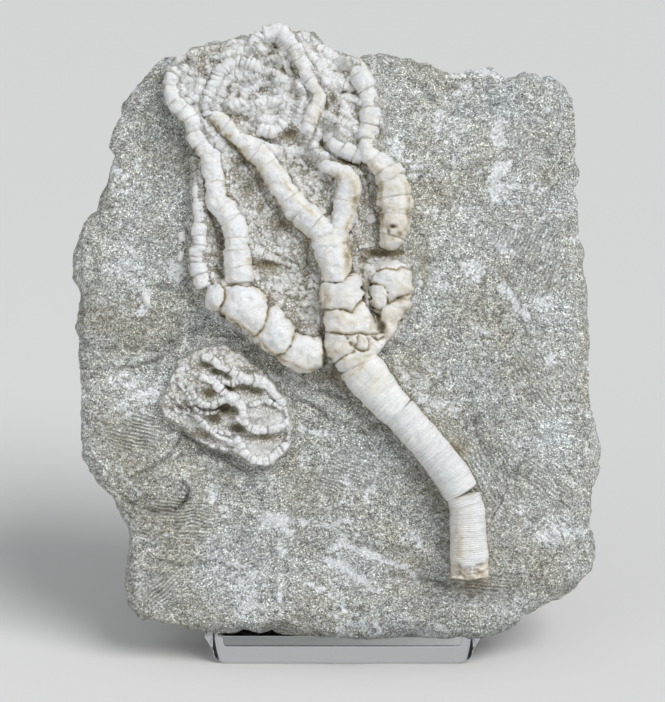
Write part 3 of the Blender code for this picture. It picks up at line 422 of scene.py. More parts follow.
# Where round beads lie thick in the bed, and its hollows: layout x, y, half-lengths, strength.
BEAD_FIELDS = [
    (235, 190, 10, 34, 0.9), (258, 215, 10, 20, 0.7), (366, 210, 6, 40, 1.0), (308, 185, 16, 22, 0.9),
    (222, 250, 5, 36, 0.7), (278, 55, 16, 14, 1.0), (340, 110, 18, 24, 0.9), (270, 112, 18, 16, 0.9),
    (190, 80, 12, 20, 0.8), (300, 150, 30, 10, 0.8), (238, 75, 24, 14, 0.7), (275, 238, 20, 8, 0.6),
    (200, 175, 7, 26, 0.9), (300, 320, 16, 14, 0.7), (370, 272, 10, 10, 0.9), (330, 60, 20, 14, 0.8)]
PITS = [
    (268, 265, 18, 5, 1.3), (285, 225, 16, 8, 0.9), (248, 190, 6, 10, 0.8), (321, 146, 4, 5, 1.3),
    (383, 253, 20, 3.5, 2.2), (362, 262, 3, 10, 1.0), (258, 91, 9, 3, 0.9), (290, 136, 9, 6, 1.3),
    (237, 120, 4, 4, 0.9), (349, 94, 8, 3, 1.3), (243, 162, 10, 4, 0.8), (262, 180, 6, 9, 0.8),
    (286, 208, 9, 6, 0.9), (287, 72, 9, 6, 1.0), (271, 56, 4, 3, 0.9), (355, 72, 3, 4, 0.8),
    (180, 118, 4, 12, 0.4), (277, 50, 8, 5, 0.7), (352, 97, 9, 5, 0.8), (238, 118, 8, 5, 0.6),
    (300, 76, 3, 12, 0.6), (222, 245, 5, 24, 0.7), (307, 245, 5, 28, 0.8), (362, 205, 3.5, 18, 0.5),
    (300, 325, 8, 4, 0.8), (336, 118, 4, 8, 0.8), (362, 112, 5, 5, 0.8), (342, 74, 9, 3, 0.7),
    (332, 101, 4, 6, 0.8), (352, 86, 6, 4, 0.7), (380, 315, 5, 8, 0.6), (321, 362, 4, 8, 2.0),
    (350, 163, 14, 4, 1.6), (352, 120, 6, 4, 0.8), (325, 108, 3.5, 10, 1.3), (217, 64, 5, 3, 0.6),
    (281, 114, 3, 3, 0.7), (203, 66, 3, 12, 0.5), (379, 138, 3, 7, 1.0), (262, 140, 14, 3, 0.5),
    (228, 88, 4, 8, 0.5)]
# Brown fillings that bring the ground up between the large plates: layout x, y, half-lengths, height mm.
FILLINGS = [
    (375, 321, 5, 11, 4.2), (319, 360, 5, 9, 3.2), (366, 274, 9, 12, 1.6), (366, 306, 5, 10, 2.4),
    (366, 289, 4, 9, 2.6), (364, 288, 2.5, 2.5, 1.6), (371, 297, 2.5, 2.5, 1.6), (312, 334, 8, 6, 1.6),
    (392, 252, 14, 4, 0.8)]

# ---------------- second crown, layout units
SMALL_CROWN = [
    (158, 404), (168, 381), (180, 362), (200, 349), (225, 346), (242, 354), (265, 374), (286, 395),
    (293, 422), (291, 445), (274, 464), (252, 467), (236, 455), (208, 448), (188, 434), (166, 418)]
SMALL_MARGIN, SMALL_ROOT = 1.2, -3.0
# Ridges of plates: half width and height in mm, spacing of the cross joints in mm, then layout points.
SMALL_RIDGES = [
    (1.25, 1.9, 2.3, [(206, 356), (214, 361), (221, 366), (228, 370), (236, 374), (245, 378), (254, 379)]),
    (1.55, 2.3, 2.4, [(236, 376), (246, 379), (256, 380), (265, 383), (272, 388), (278, 395), (281, 400)]),
    (0.85, 1.3, 1.3, [(282, 398), (285, 406), (288, 414), (291, 422), (290, 432), (288, 440)]),
    (1.1, 1.7, 1.8, [(204, 377), (213, 380), (222, 382), (232, 383), (241, 381)]),
    (1.15, 2.2, 2.1, [(217, 385), (223, 390), (230, 396), (236, 401)]),
    (1.75, 2.6, 3.4, [(231, 397), (238, 402), (243, 408), (244, 415)]),
    (1.0, 1.9, 1.7, [(191, 388), (195, 396), (201, 403), (209, 405), (218, 403), (227, 399)]),
    (0.8, 1.5, 1.4, [(180, 384), (186, 391), (191, 399), (195, 406), (200, 411)]),
    (0.7, 1.0, 1.5, [(168, 386), (172, 394), (179, 401), (186, 407), (191, 412)]),
    (0.6, 1.2, 1.6, [(198, 411), (206, 413), (213, 412), (219, 409)]),
    (0.7, 0.8, 1.8, [(165, 398), (172, 406), (181, 412), (190, 415), (199, 418)]),
    (0.55, 0.7, 1.6, [(170, 417), (178, 422), (187, 428), (197, 430)]),
    (1.05, 1.6, 1.8, [(197, 417), (204, 424), (212, 431), (219, 436), (227, 440), (235, 443)]),
    (0.75, 1.2, 1.6, [(214, 428), (222, 432), (230, 434)]),
    (1.15, 2.0, 2.0, [(237, 417), (245, 422), (252, 427), (262, 430), (272, 430), (282, 426), (290, 420)]),
    (0.8, 1.3, 1.6, [(252, 404), (262, 401), (272, 403), (282, 408)]),
    (1.85, 1.9, 1.7, [(238, 441), (241, 449), (246, 456), (254, 460), (263, 461), (272, 458), (279, 453),
        (286, 446)]),
    (0.8, 1.2, 1.6, [(202, 440), (212, 445), (222, 448), (232, 449), (240, 453)])]
# Its hollows, its domes and where it is beaded rather than smooth: layout x, y, half-lengths, strength or mm.
SMALL_HOLLOWS = [
    (207, 365, 9, 4, 1.4), (219, 371, 10, 4, 1.6), (227, 375, 6, 3, 1.3), (231, 389, 8, 4.5, 1.8),
    (243, 387, 10, 4, 1.7), (256, 390, 9, 4, 1.5), (209, 393, 8, 5, 1.8), (225, 408, 12, 6, 2.7),
    (215, 417, 6, 6, 2.0), (239, 428, 9, 4, 2.2), (262, 436, 22, 4, 1.2), (205, 435, 14, 5, 1.2),
    (184, 407, 14, 3.5, 0.9), (252, 372, 12, 4, 0.8), (275, 404, 9, 5, 0.7), (197, 402, 4, 4, 0.8)]
SMALL_DOMES = [(262, 410, 24, 20, 1.6), (185, 376, 18, 14, 0.6), (262, 446, 18, 10, -0.6),
               (180, 410, 22, 24, -1.4)]
SMALL_BEADS = [
    (185, 372, 26, 20, 1.0), (172, 404, 20, 18, 0.9), (220, 352, 26, 12, 1.0), (222, 434, 14, 6, 0.8),
    (250, 366, 16, 6, 0.7), (262, 412, 14, 10, 0.35)]

STONE_MARKS = ("pale", "soil", "plate", "ridge", "phase", "shade")
FOSSIL_MARKS = ("stain", "cleft", "along", "ring")


# ---------------- numbers and noise
FAR = 9.0  # farther than any neighbour, in cells or mm
UNSEEN = 1e3  # mm, farther than anything on the slab
ALMOST_NOTHING = 1e-6
FINER = 2.03  # each octave of rough is finer than the last, and turned
OCTAVE_TURN = 0.6


def face_points(points):
    """Layout points as an array of (u, v) in mm."""
    listed = np.asarray(points, float)
    return np.column_stack(((listed[:, 0] - LAYOUT_MIDDLE_X) * UNIT, (LAYOUT_FOOT_Y - listed[:, 1]) * UNIT))


def ease(value, low, high):
    """0 below low, 1 above high, and a smooth ramp between."""
    t = np.clip((value - low) / (high - low), 0.0, 1.0)
    return t * t * (3 - 2 * t)


def held(value):
    """A number kept between 0 and 1."""
    return np.clip(value, 0, 1)


def bell(gap, width):
    """1 at no distance, fading softly to 0 over a width."""
    return np.exp(-(gap / width) ** 2)


def chance(*keys):
    """Repeatable numbers from 0 to 1 out of whole-number keys."""
    mix = np.uint64(0x9E3779B97F4A7C15)
    for key in keys:
        mix = (mix ^ np.asarray(key, np.int64).astype(np.uint64)) * np.uint64(0xBF58476D1CE4E5B9)
        mix = mix ^ (mix >> np.uint64(29))
    return (mix >> np.uint64(40)).astype(float) / float(1 << 24)


def noise(x, y, z=0.0, seed=0):
    """Smooth value noise from -1 to 1 with cells one unit wide."""
    x, y, z = np.broadcast_arrays(np.asarray(x, float), y, z)
    ix, iy, iz = (np.floor(axis).astype(np.int64) for axis in (x, y, z))
    fx, fy, fz = (t * t * t * (t * (t * 6 - 15) + 10) for t in (x - ix, y - iy, z - iz))
    total = 0.0
    for dx in (0, 1):
        for dy in (0, 1):
            for dz in (0, 1):
                share = (fx if dx else 1 - fx) * (fy if dy else 1 - fy) * (fz if dz else 1 - fz)
                total = total + share * chance(ix + dx, iy + dy, iz + dz, seed)
    return total * 2 - 1


def lumps(size, seed, *place):
    """Noise from -1 to 1 whose lumps are size mm wide, at a place of two or three numbers."""
    return noise(*(axis / size for axis in place), seed=seed)


def rough(x, y, z=0.0, *, size, octaves, seed):
    """Several sizes of noise added up, the widest size mm across."""
    total, strength = 0.0, 1.0
    for octave in range(octaves):
        scale = FINER ** octave / size
        a, b = math.cos(OCTAVE_TURN * octave), math.sin(OCTAVE_TURN * octave)
        turned = (x * a - y * b) * scale, (x * b + y * a) * scale
        total = total + strength * noise(*turned, z * scale, seed + octave)
        strength *= 0.5
    return total


def shaken(u, v, reach, size, seed):
    """Places pushed about by up to reach mm, over lumps size mm wide."""
    return u + reach * lumps(size, seed, u, v), v + reach * lumps(size, seed + 1, u, v)


def pebbles(x, y, size, seed, jitter):
    """Nearest and next distance to scattered middles, in cells, and the nearest one's own number."""
    x, y = x / size, y / size
    ix, iy = np.floor(x).astype(np.int64), np.floor(y).astype(np.int64)
    near = after = np.full(x.shape, FAR)
    own = np.zeros(x.shape)
    for dx in (-1, 0, 1):
        for dy in (-1, 0, 1):
            px = ix + dx + 0.5 + jitter * (chance(ix + dx, iy + dy, seed) - 0.5)
            py = iy + dy + 0.5 + jitter * (chance(ix + dx, iy + dy, seed + 1) - 0.5)
            gap = np.hypot(px - x, py - y)
            closer = gap < near
            after = np.where(closer, near, np.minimum(after, gap))
            own = np.where(closer, chance(ix + dx, iy + dy, seed + 2), own)
            near = np.where(closer, gap, near)
    return near, after, own


# ---------------- distances on the face
def around(u, v, points, reach):
    """Which places lie within reach of the box round some points."""
    low, high = points.min(0) - reach, points.max(0) + reach
    return np.flatnonzero((u > low[0]) & (u < high[0]) & (v > low[1]) & (v < high[1]))


def line_distance(u, v, line):
    """Distance in mm from each place to a polyline, and the side it lies on (left is positive)."""
    best = np.full(u.shape, 1e9)
    side = np.zeros(u.shape)
    for (ax, ay), (bx, by) in zip(line[:-1], line[1:]):
        dx, dy = bx - ax, by - ay
        t = held(((u - ax) * dx + (v - ay) * dy) / (dx * dx + dy * dy + 1e-12))
        gap = np.hypot(u - ax - t * dx, v - ay - t * dy)
        closer = gap < best
        best = np.where(closer, gap, best)
        side = np.where(closer, np.sign(dx * (v - ay) - dy * (u - ax)), side)
    return best, side


def suture_distance(u, v):
    """Distance to the nearest suture, looked for only where one is near."""
    best = np.full(u.shape, UNSEEN)
    for line in SUTURES:
        points = face_points(line)
        near = around(u, v, points, 4.0)
        best[near] = np.minimum(best[near], line_distance(u[near], v[near], points)[0])
    return best


def line_stains(u, v):
    """Strength of the ochre lines at each place."""
    best = np.zeros(u.shape)
    for width, strength, line in LINE_STAINS:
        points = face_points(line)
        near = around(u, v, points, 3 * width)
        place = u[near], v[near]
        gap = line_distance(*place, points)[0] * (1 + 0.5 * lumps(1.7, 71, *place))
        best[near] = np.maximum(best[near], strength * bell(gap, width))
    return best


def ghost_marks(u, v):
    """Strength of the pale marks on the stone, 0 to 1."""
    best = np.zeros(u.shape)
    for width, strength, line in GHOSTS:
        points = face_points(line)
        reach = width * UNIT
        near = around(u, v, points, reach)
        place = u[near], v[near]
        ragged = line_distance(*place, points)[0] / (0.5 * reach) + 0.35 * lumps(1.1, 61, *place)
        best[near] = np.maximum(best[near], strength * (1 - ease(ragged, 0.55, 1.2)))
    veil = 0.45 * ease(lumps(9, 62, u, v) + 0.6 * lumps(3.5, 63, u, v), 0.45, 1.1)
    return held(np.maximum(1.3 * best * (0.78 + 0.55 * lumps(1.6, 64, u, v)), veil))


def inward_distance(u, v, outline):
    """Distance to a closed outline, positive inside it."""
    points = face_points(outline + outline[:1])
    within = np.zeros(u.shape, bool)
    for (ax, ay), (bx, by) in zip(points, points[1:]):
        if ay != by:
            crosses = (ay > v) != (by > v)
            within ^= crosses & (u < ax + (v - ay) * (bx - ax) / (by - ay))
    gap = line_distance(u, v, points)[0]
    return np.where(within, gap, -gap)


def patches(u, v, forms):
    """Soft round patches, given as layout x, y, half-lengths and strength, one after another."""
    for x, y, reach_x, reach_y, strength in forms:
        (mu, mv), = face_points([(x, y)])
        yield strength * np.exp(-((u - mu) / (reach_x * UNIT)) ** 2 - ((v - mv) / (reach_y * UNIT)) ** 2)


def hills(u, v, forms):
    """The sum of several soft patches."""
    return sum(patches(u, v, forms))


def spread(u, v, forms):
    """The strongest of several soft patches, or 0."""
    best = np.zeros(u.shape)
    for patch in patches(u, v, forms):
        best = np.maximum(best, patch)
    return best


# ---------------- routes of the fossil pieces
def lengths_along(points):
    """How far along a polyline each of its points lies."""
    return np.concatenate(([0], np.cumsum(np.hypot(*np.diff(points, axis=0).T))))


def sampled(at, along, table):
    """The rows of a table at other lengths along."""
    return np.column_stack([np.interp(at, along, column) for column in table.T])


def smooth_route(stations, spacing):
    """Even samples through a piece's stations: along, place, width, height and forward, in mm."""
    knots = np.column_stack((face_points([station[:2] for station in stations]),
                             [station[2:] for station in stations]))
    knots = np.vstack((2 * knots[0] - knots[1], knots, 2 * knots[-1] - knots[-2]))
    t = np.linspace(0, 1, 16, endpoint=False)[:, None]
    spans = [0.5 * (2 * b + (c - a) * t + (2 * a - 5 * b + 4 * c - d) * t ** 2
                    + (3 * b - a - 3 * c + d) * t ** 3)
             for a, b, c, d in zip(knots, knots[1:], knots[2:], knots[3:])]
    dense = np.vstack(spans + [knots[-2][None]])
    run = lengths_along(dense[:, :2])
    along = np.linspace(0, run[-1], max(3, round(run[-1] / spacing) + 1))
    even = sampled(along, run, dense)
    forward = np.gradient(even[:, :2], along, axis=0)
    forward /= np.hypot(*forward.T)[:, None]
    return {"along": along, "place": even[:, :2], "width": even[:, 2], "height": even[:, 3],
            "forward": forward}


ROUTES = [smooth_route(stations, 0.9) for _, _, stations in FOSSILS.values()]
NEARNESS_REACH = 12.0  # mm


def fossil_nearness(u, v):
    """Distance outside the nearest fossil piece, and its direction there (from piece to place)."""
    best = np.full(u.shape, UNSEEN)
    toward = np.zeros(u.shape + (2,))
    for route in ROUTES:
        near = around(u, v, route["place"], NEARNESS_REACH)
        for (pu, pv), width in zip(route["place"], route["width"]):
            du, dv = u[near] - pu, v[near] - pv
            gap = np.hypot(du, dv)
            out = gap - width / 2
            closer = out < best[near]
            picked = near[closer]
            best[picked] = out[closer]
            toward[picked, 0] = du[closer] / (gap[closer] + ALMOST_NOTHING)
            toward[picked, 1] = dv[closer] / (gap[closer] + ALMOST_NOTHING)
    return best, toward


# ---------------- the stone's face
BANK_DIRECTION = (0.72, 0.69)  # the stone stands higher on the upper right of the fossils
BANK_WIDTH = 3.0  # mm


def creases(u, v):
    """For each crease: its width, depth and step, then the distance, side and ragged width at each place."""
    ragged = 1 + 0.5 * lumps(1.3, 31, u, v)
    for width, depth, step, line in CREASES:
        gap, side = line_distance(u, v, face_points(line))
        yield width, depth, step, gap, side, width * ragged


def stone_height(u, v):
    """Height of the bare stone's face in mm, without what the crowns add."""
    swell = 1.15 * lumps(27, 3, u, v) + 0.5 * lumps(11, 4, u, v)
    torn = rough(u, v, size=6.5, octaves=3, seed=11)
    ridged = 0.5 - np.abs(rough(u * 0.8 + v * 0.25, v, size=4.2, octaves=3, seed=23))
    broken = np.abs(noise(u / 2.6 + 0.4 * noise(u, v, seed=28), v / 2.2, seed=27))
    height = swell + hills(u, v, STONE_FORMS) + 0.34 * torn + 0.42 * ridged - 0.22 * broken
    for width, depth, step, gap, side, ragged in creases(u, v):
        height -= 1.7 * depth * bell(gap, ragged * 0.6)
        height -= 2.0 * np.where(side > 0, step, 0) * bell(gap, 3.6 * width)
    out, toward = fossil_nearness(u, v)
    uphill = toward[:, 0] * BANK_DIRECTION[0] + toward[:, 1] * BANK_DIRECTION[1]
    height += bell(np.maximum(out, 0), BANK_WIDTH) * np.where(uphill > 0, 1.5 * uphill, uphill)
    return height * (0.55 + 0.45 * ease(out, -1.0, 2.0))


def crease_shade(u, v):
    """How deep in a crease each place lies, 0 to 1, which the stone's colour takes as painted shade."""
    deep = [bell(gap, ragged * 0.75) for _, _, _, gap, _, ragged in creases(u, v)]
    return np.maximum.reduce(deep) * (0.50 + 0.45 * lumps(2.6, 32, u, v))


def tool_ridges(u, v):
    """Strength and phase of the fine parallel ridges on the stone."""
    strength, phase = np.zeros(u.shape), np.zeros(u.shape)
    wander = 0.55 * lumps(4, 41, u, v) + 0.2 * lumps(1.4, 42, u, v)
    for x, y, reach_x, reach_y, turn, spacing, size in TOOL_RIDGES:
        (mu, mv), = face_points([(x, y)])
        patch = size * np.exp(-(((u - mu) / (reach_x * UNIT)) ** 2 + ((v - mv) / (reach_y * UNIT)) ** 2) ** 2)
        angle = math.radians(turn)
        across = (v - mv) * math.cos(angle) - (u - mu) * math.sin(angle)
        stronger = patch > strength
        strength = np.where(stronger, patch, strength)
        phase = np.where(stronger, across / spacing + wander, phase)
    return strength * (0.6 + 0.6 * lumps(6, 43, u, v)), phase


# ---------------- making meshes
def placed(name, data):
    """A new object in the scene."""
    thing = bpy.data.objects.new(name, data)
    bpy.context.scene.collection.objects.link(thing)
    return thing


def mesh_of(shape, name):
    """A finished bmesh as a mesh."""
    mesh = bpy.data.meshes.new(name)
    shape.to_mesh(mesh)
    shape.free()
    return mesh


def write_piece(shape, name):
    """A bmesh whose vertices are in face mm becomes a smooth object in the row frame."""
    bmesh.ops.transform(shape, matrix=FACE, verts=shape.verts)
    mesh = mesh_of(shape, name)
    mesh.shade_smooth()
    return placed(name, mesh)


def flat_grid(columns, rows):
    """A flat grid whose vertices run from 0 to 1, and their places as arrays."""
    shape = bmesh.new()
    bmesh.ops.create_grid(shape, x_segments=columns, y_segments=rows, size=0.5)
    places = np.array([vert.co[:2] for vert in shape.verts]) + 0.5
    return shape, places[:, 0], places[:, 1]


def grid_over(outline, margin, cell):
    """A flat grid over the box round an outline, and its places in face mm."""
    corners = face_points(outline)
    low, high = corners.min(0) - margin, corners.max(0) + margin
    shape, s, t = flat_grid(*(math.ceil(span * MM / cell) for span in high - low))
    return shape, low[0] + s * (high[0] - low[0]), low[1] + t * (high[1] - low[1])


def set_places(verts, u, v, w):
    """Moves every vertex to its face place."""
    for vert, *place in zip(verts, u.tolist(), v.tolist(), w.tolist()):
        vert.co = place


def set_marks(shape, names, **marks):
    """Stores the numbers that a finish reads with each vertex; one that isn't given is 0."""
    for name in names:
        layer = shape.verts.layers.float.new(name)
        if name in marks:
            for vert, value in zip(shape.verts, marks[name].tolist()):
                vert[layer] = value


def rim_walk(shape):
    """The vertices of a shape's one open rim, in order."""
    edge = next(edge for edge in shape.edges if edge.is_boundary)
    start, vert = edge.verts
    loop = [start]
    while vert is not start:
        loop.append(vert)
        edge = next(other for other in vert.link_edges if other.is_boundary and other is not edge)
        vert = edge.other_vert(vert)
    return loop


def rim_edges(loop):
    """The open edges along a rim, in the same order each run."""
    return [edge for edge in dict.fromkeys(edge for vert in loop for edge in vert.link_edges)
            if edge.is_boundary]


def draw_rim(shape, rings):
    """Extrudes the open rim once for each ring of places, fills the last one and turns all faces outwards."""
    loop = rim_walk(shape)
    for places in rings:
        order = {vert: index for index, vert in enumerate(loop)}
        grown = bmesh.ops.extrude_edge_only(shape, edges=rim_edges(loop))["geom"]
        fresh = [None] * len(loop)
        for vert in grown:
            if isinstance(vert, bmesh.types.BMVert):
                source = next(other for other in (edge.other_vert(vert) for edge in vert.link_edges)
                              if other in order)
                fresh[order[source]] = vert
        for vert, place in zip(fresh, places.tolist()):
            vert.co = place
        loop = fresh
    bmesh.ops.contextual_create(shape, geom=rim_edges(loop))
    bmesh.ops.recalc_face_normals(shape, faces=shape.faces)


def trim_outside(shape, keep):
    """Deletes the faces of a patch that reach outside its outline."""
    outer = set(np.flatnonzero(keep < 0).tolist())
    shape.verts.index_update()
    gone = [face for face in shape.faces if any(vert.index in outer for vert in face.verts)]
    bmesh.ops.delete(shape, geom=gone, context="FACES")
    loose = [vert for vert in shape.verts if not vert.link_faces]
    bmesh.ops.delete(shape, geom=loose, context="VERTS")


def sink_patch(shape, keep, depth, name):
    """Trims a patch, draws its rim down into the stone and closes it underneath."""
    trim_outside(shape, keep)
    rim = np.array([vert.co[:] for vert in rim_walk(shape)])
    rim[:, 2] = depth
    draw_rim(shape, [rim])
    return write_piece(shape, name)


# ---------------- the slab
SIDE_DEPTHS = (0.35, 0.8, 1.4, 2.2, 3.2, 4.4, 5.6, 6.8, 8.0, 9.2, 10.4, 11.6, 12.8, 14.0, 15.2, 16.4, 17.6,
               18.8, 20.0, 21.2, 22.2, 23.0, 23.6, THICKNESS)
CHIPPING_DEPTH = 2.5  # mm down the side at which its chips are at their full size
FACE_RELIEF_DEPTH = 8  # mm down the side at which the rim has become level
BACK_EDGE = 1.5  # mm, rounding of the edge of the flat back


def even_side(points, share):
    """Places at shares 0 to 1 of a side's length."""
    listed = face_points(points)
    run = lengths_along(listed)
    return sampled(share * run[-1], run, listed)


def warp_to_outline(s, t):
    """Coons patch: grid shares to places inside the slab's four sides."""
    left, right = even_side(SLAB_LEFT, t), even_side(SLAB_RIGHT, t)
    bottom, top = even_side(SLAB_BOTTOM, s), even_side(SLAB_TOP, s)
    s, t = s[:, None], t[:, None]
    corners = face_points([SLAB_BOTTOM[0], SLAB_BOTTOM[-1], SLAB_TOP[0], SLAB_TOP[-1]])
    blend = (corners[0] * (1 - s) * (1 - t) + corners[1] * s * (1 - t)
             + corners[2] * (1 - s) * t + corners[3] * s * t)
    return left * (1 - s) + right * s + bottom * (1 - t) + top * t - blend


def slab_rings(loop):
    """Places of the slab's chipped side, ring by ring, from its face's rim to its flat back."""
    start = np.array([vert.co[:] for vert in loop])
    u, v = start[:, 0], start[:, 1]
    run = np.roll(start, -1, 0) - np.roll(start, 1, 0)
    outward = np.column_stack((run[:, 1], -run[:, 0])) / np.hypot(run[:, 0], run[:, 1])[:, None]
    if np.mean(np.sum(outward * (start[:, :2] - np.array(SLAB_MIDDLE)), axis=1)) < 0:
        outward = -outward
    for _ in range(6):
        outward = outward + np.roll(outward, 1, 0) + np.roll(outward, -1, 0)
    outward /= np.hypot(*outward.T)[:, None]
    rings = []
    for depth in SIDE_DEPTHS:
        facets = 1.3 * noise(u / 13, v / 13, depth / 9, seed=71)
        facets = facets + 0.9 * noise(u / 5, v / 5, depth / 4, seed=72)
        grain = 0.35 * rough(u, v, depth, size=2.0, octaves=3, seed=73)
        ledge = 0.5 * noise(u / 30, v / 30, depth / 2.2, seed=77)
        swell = 1.1 * math.sin(math.pi * min(1.0, depth / THICKNESS) ** 0.8)
        taper = -2.2 * (depth / THICKNESS) ** 2
        out = (facets + grain + ledge + swell + taper) * min(1.0, depth / CHIPPING_DEPTH)
        out = out - 1.1 * ease(depth, THICKNESS - BACK_EDGE, THICKNESS)
        w = start[:, 2] * max(0.0, 1 - depth / FACE_RELIEF_DEPTH) - depth
        place = start[:, :2] + outward * out[:, None]
        resting = -w * math.tan(LEAN)
        place[:, 1] = np.maximum(place[:, 1], resting)
        rings.append(np.column_stack((place, w)))
    return rings


def build_slab(settings):
    """The stone slab: a warped grid with its relief, chipped sides and a flat back."""
    shape, s, t = flat_grid(*(round(span * MM / settings.slab_cell) for span in SLAB_SPANS))
    u, v = warp_to_outline(s, t).T
    edge = np.abs(inward_distance(u, v, SLAB_OUTLINE))
    crown = ease(inward_distance(u, v, CROWN), 0.3, 2.0)
    second = ease(inward_distance(u, v, SMALL_CROWN), 0.3, 1.5)
    w = stone_height(u, v) - 1.3 * crown - 1.0 * second
    chip = np.maximum(0, 0.75 + 1.5 * lumps(9, 81, u, v) + 0.5 * lumps(3, 82, u, v))
    w = w - (0.5 + 1.15 * chip) * (1 - ease(edge, 0.0, 1.6 + 1.8 * chip)) - 0.55 * np.exp(-edge / 0.6)
    set_places(shape.verts, u, v, w)
    ridge, phase = tool_ridges(u, v)
    # The shade mark: painted shade in the creases and the shaded stretches, the slab's foot among them, and
    # painted light where the lighter stretches brighten the stone.
    shade = np.clip(crease_shade(u, v) + spread(u, v, SHADED) - spread(u, v, PAINTED_LIGHT), -1, 1)
    beside = 0.45 * np.exp(-np.maximum(fossil_nearness(u, v)[0], 0) / 1.3)
    soil = held(np.maximum(spread(u, v, SOIL) + beside, line_stains(u, v)))
    set_marks(shape, STONE_MARKS, pale=ghost_marks(u, v), soil=soil, ridge=ridge, phase=phase, shade=shade)
    draw_rim(shape, slab_rings(rim_walk(shape)))
    return write_piece(shape, "stone_slab")


# ---------------- the beds of small plates
def plate_bed(u, v, coarse):
    """Relief, plate share and pit share of a bed of small plates."""
    wander_u, wander_v = shaken(u, v, 0.30, 1.3, 101)
    relief, plate, pit = 0.0, 0.0, 0.0
    for size, seed, share in ((0.85, 111, 1 - coarse), (1.9, 121, coarse)):
        near, after, own = pebbles(wander_u, wander_v, size, seed, 1.0)
        dome = held(1 - (near / 0.8) ** 2) ** 0.7
        seam = 1 - ease(after - near, 0.02, 0.22)
        there = ease(own, 0.35, 0.5)
        relief = relief + share * (there * (0.35 + 0.65 * own) * dome * 0.55 * size ** 0.5 - 0.10 * seam)
        plate = plate + share * held(there * (0.45 + 0.55 * own) * (1 - 0.35 * seam))
        pit = pit + share * held(0.42 * (1 - there) + 0.30 * seam)
    return relief, plate, pit


def plate_rows(u, v, table):
    """Height and cross joints of rows of plates."""
    rise, joint = np.zeros(u.shape), np.zeros(u.shape)
    wander_u, wander_v = shaken(u, v, 0.32, 1.5, 223)
    for number, (half, height, spacing, line) in enumerate(table):
        route = smooth_route([(x, y, 0, 0) for x, y in line], 0.25)
        near = around(u, v, route["place"], 3)
        route_u, route_v = route["place"].T
        gaps = np.hypot(wander_u[near, None] - route_u, wander_v[near, None] - route_v)
        at = gaps.argmin(1)
        along = route["along"][at] / spacing
        along = along + 0.6 * noise(along * 0.7, number, seed=221)
        plate = np.floor(along).astype(int)
        wide = half * (0.70 + 0.48 * chance(plate, number, 3))
        across = held(1 - (gaps[np.arange(len(near)), at] / wide) ** 2)
        gap = np.minimum(along - plate, plate + 1 - along) * spacing
        pillow = 0.80 + 0.20 * ease(gap, 0.0, 0.30 * spacing)
        crest = height * (0.6 + 0.55 * chance(plate, number, 4)) * across ** 0.36 * pillow
        seam = bell(gap, 0.15) * ease(chance(np.round(along).astype(int), number, 8), 0.25, 0.7)
        crest = crest - 0.10 * height * seam * (crest > 0.1)
        higher = crest > rise[near]
        rise[near] = np.where(higher, crest, rise[near])
        joint[near] = np.where(higher, seam, joint[near])
    return rise, joint


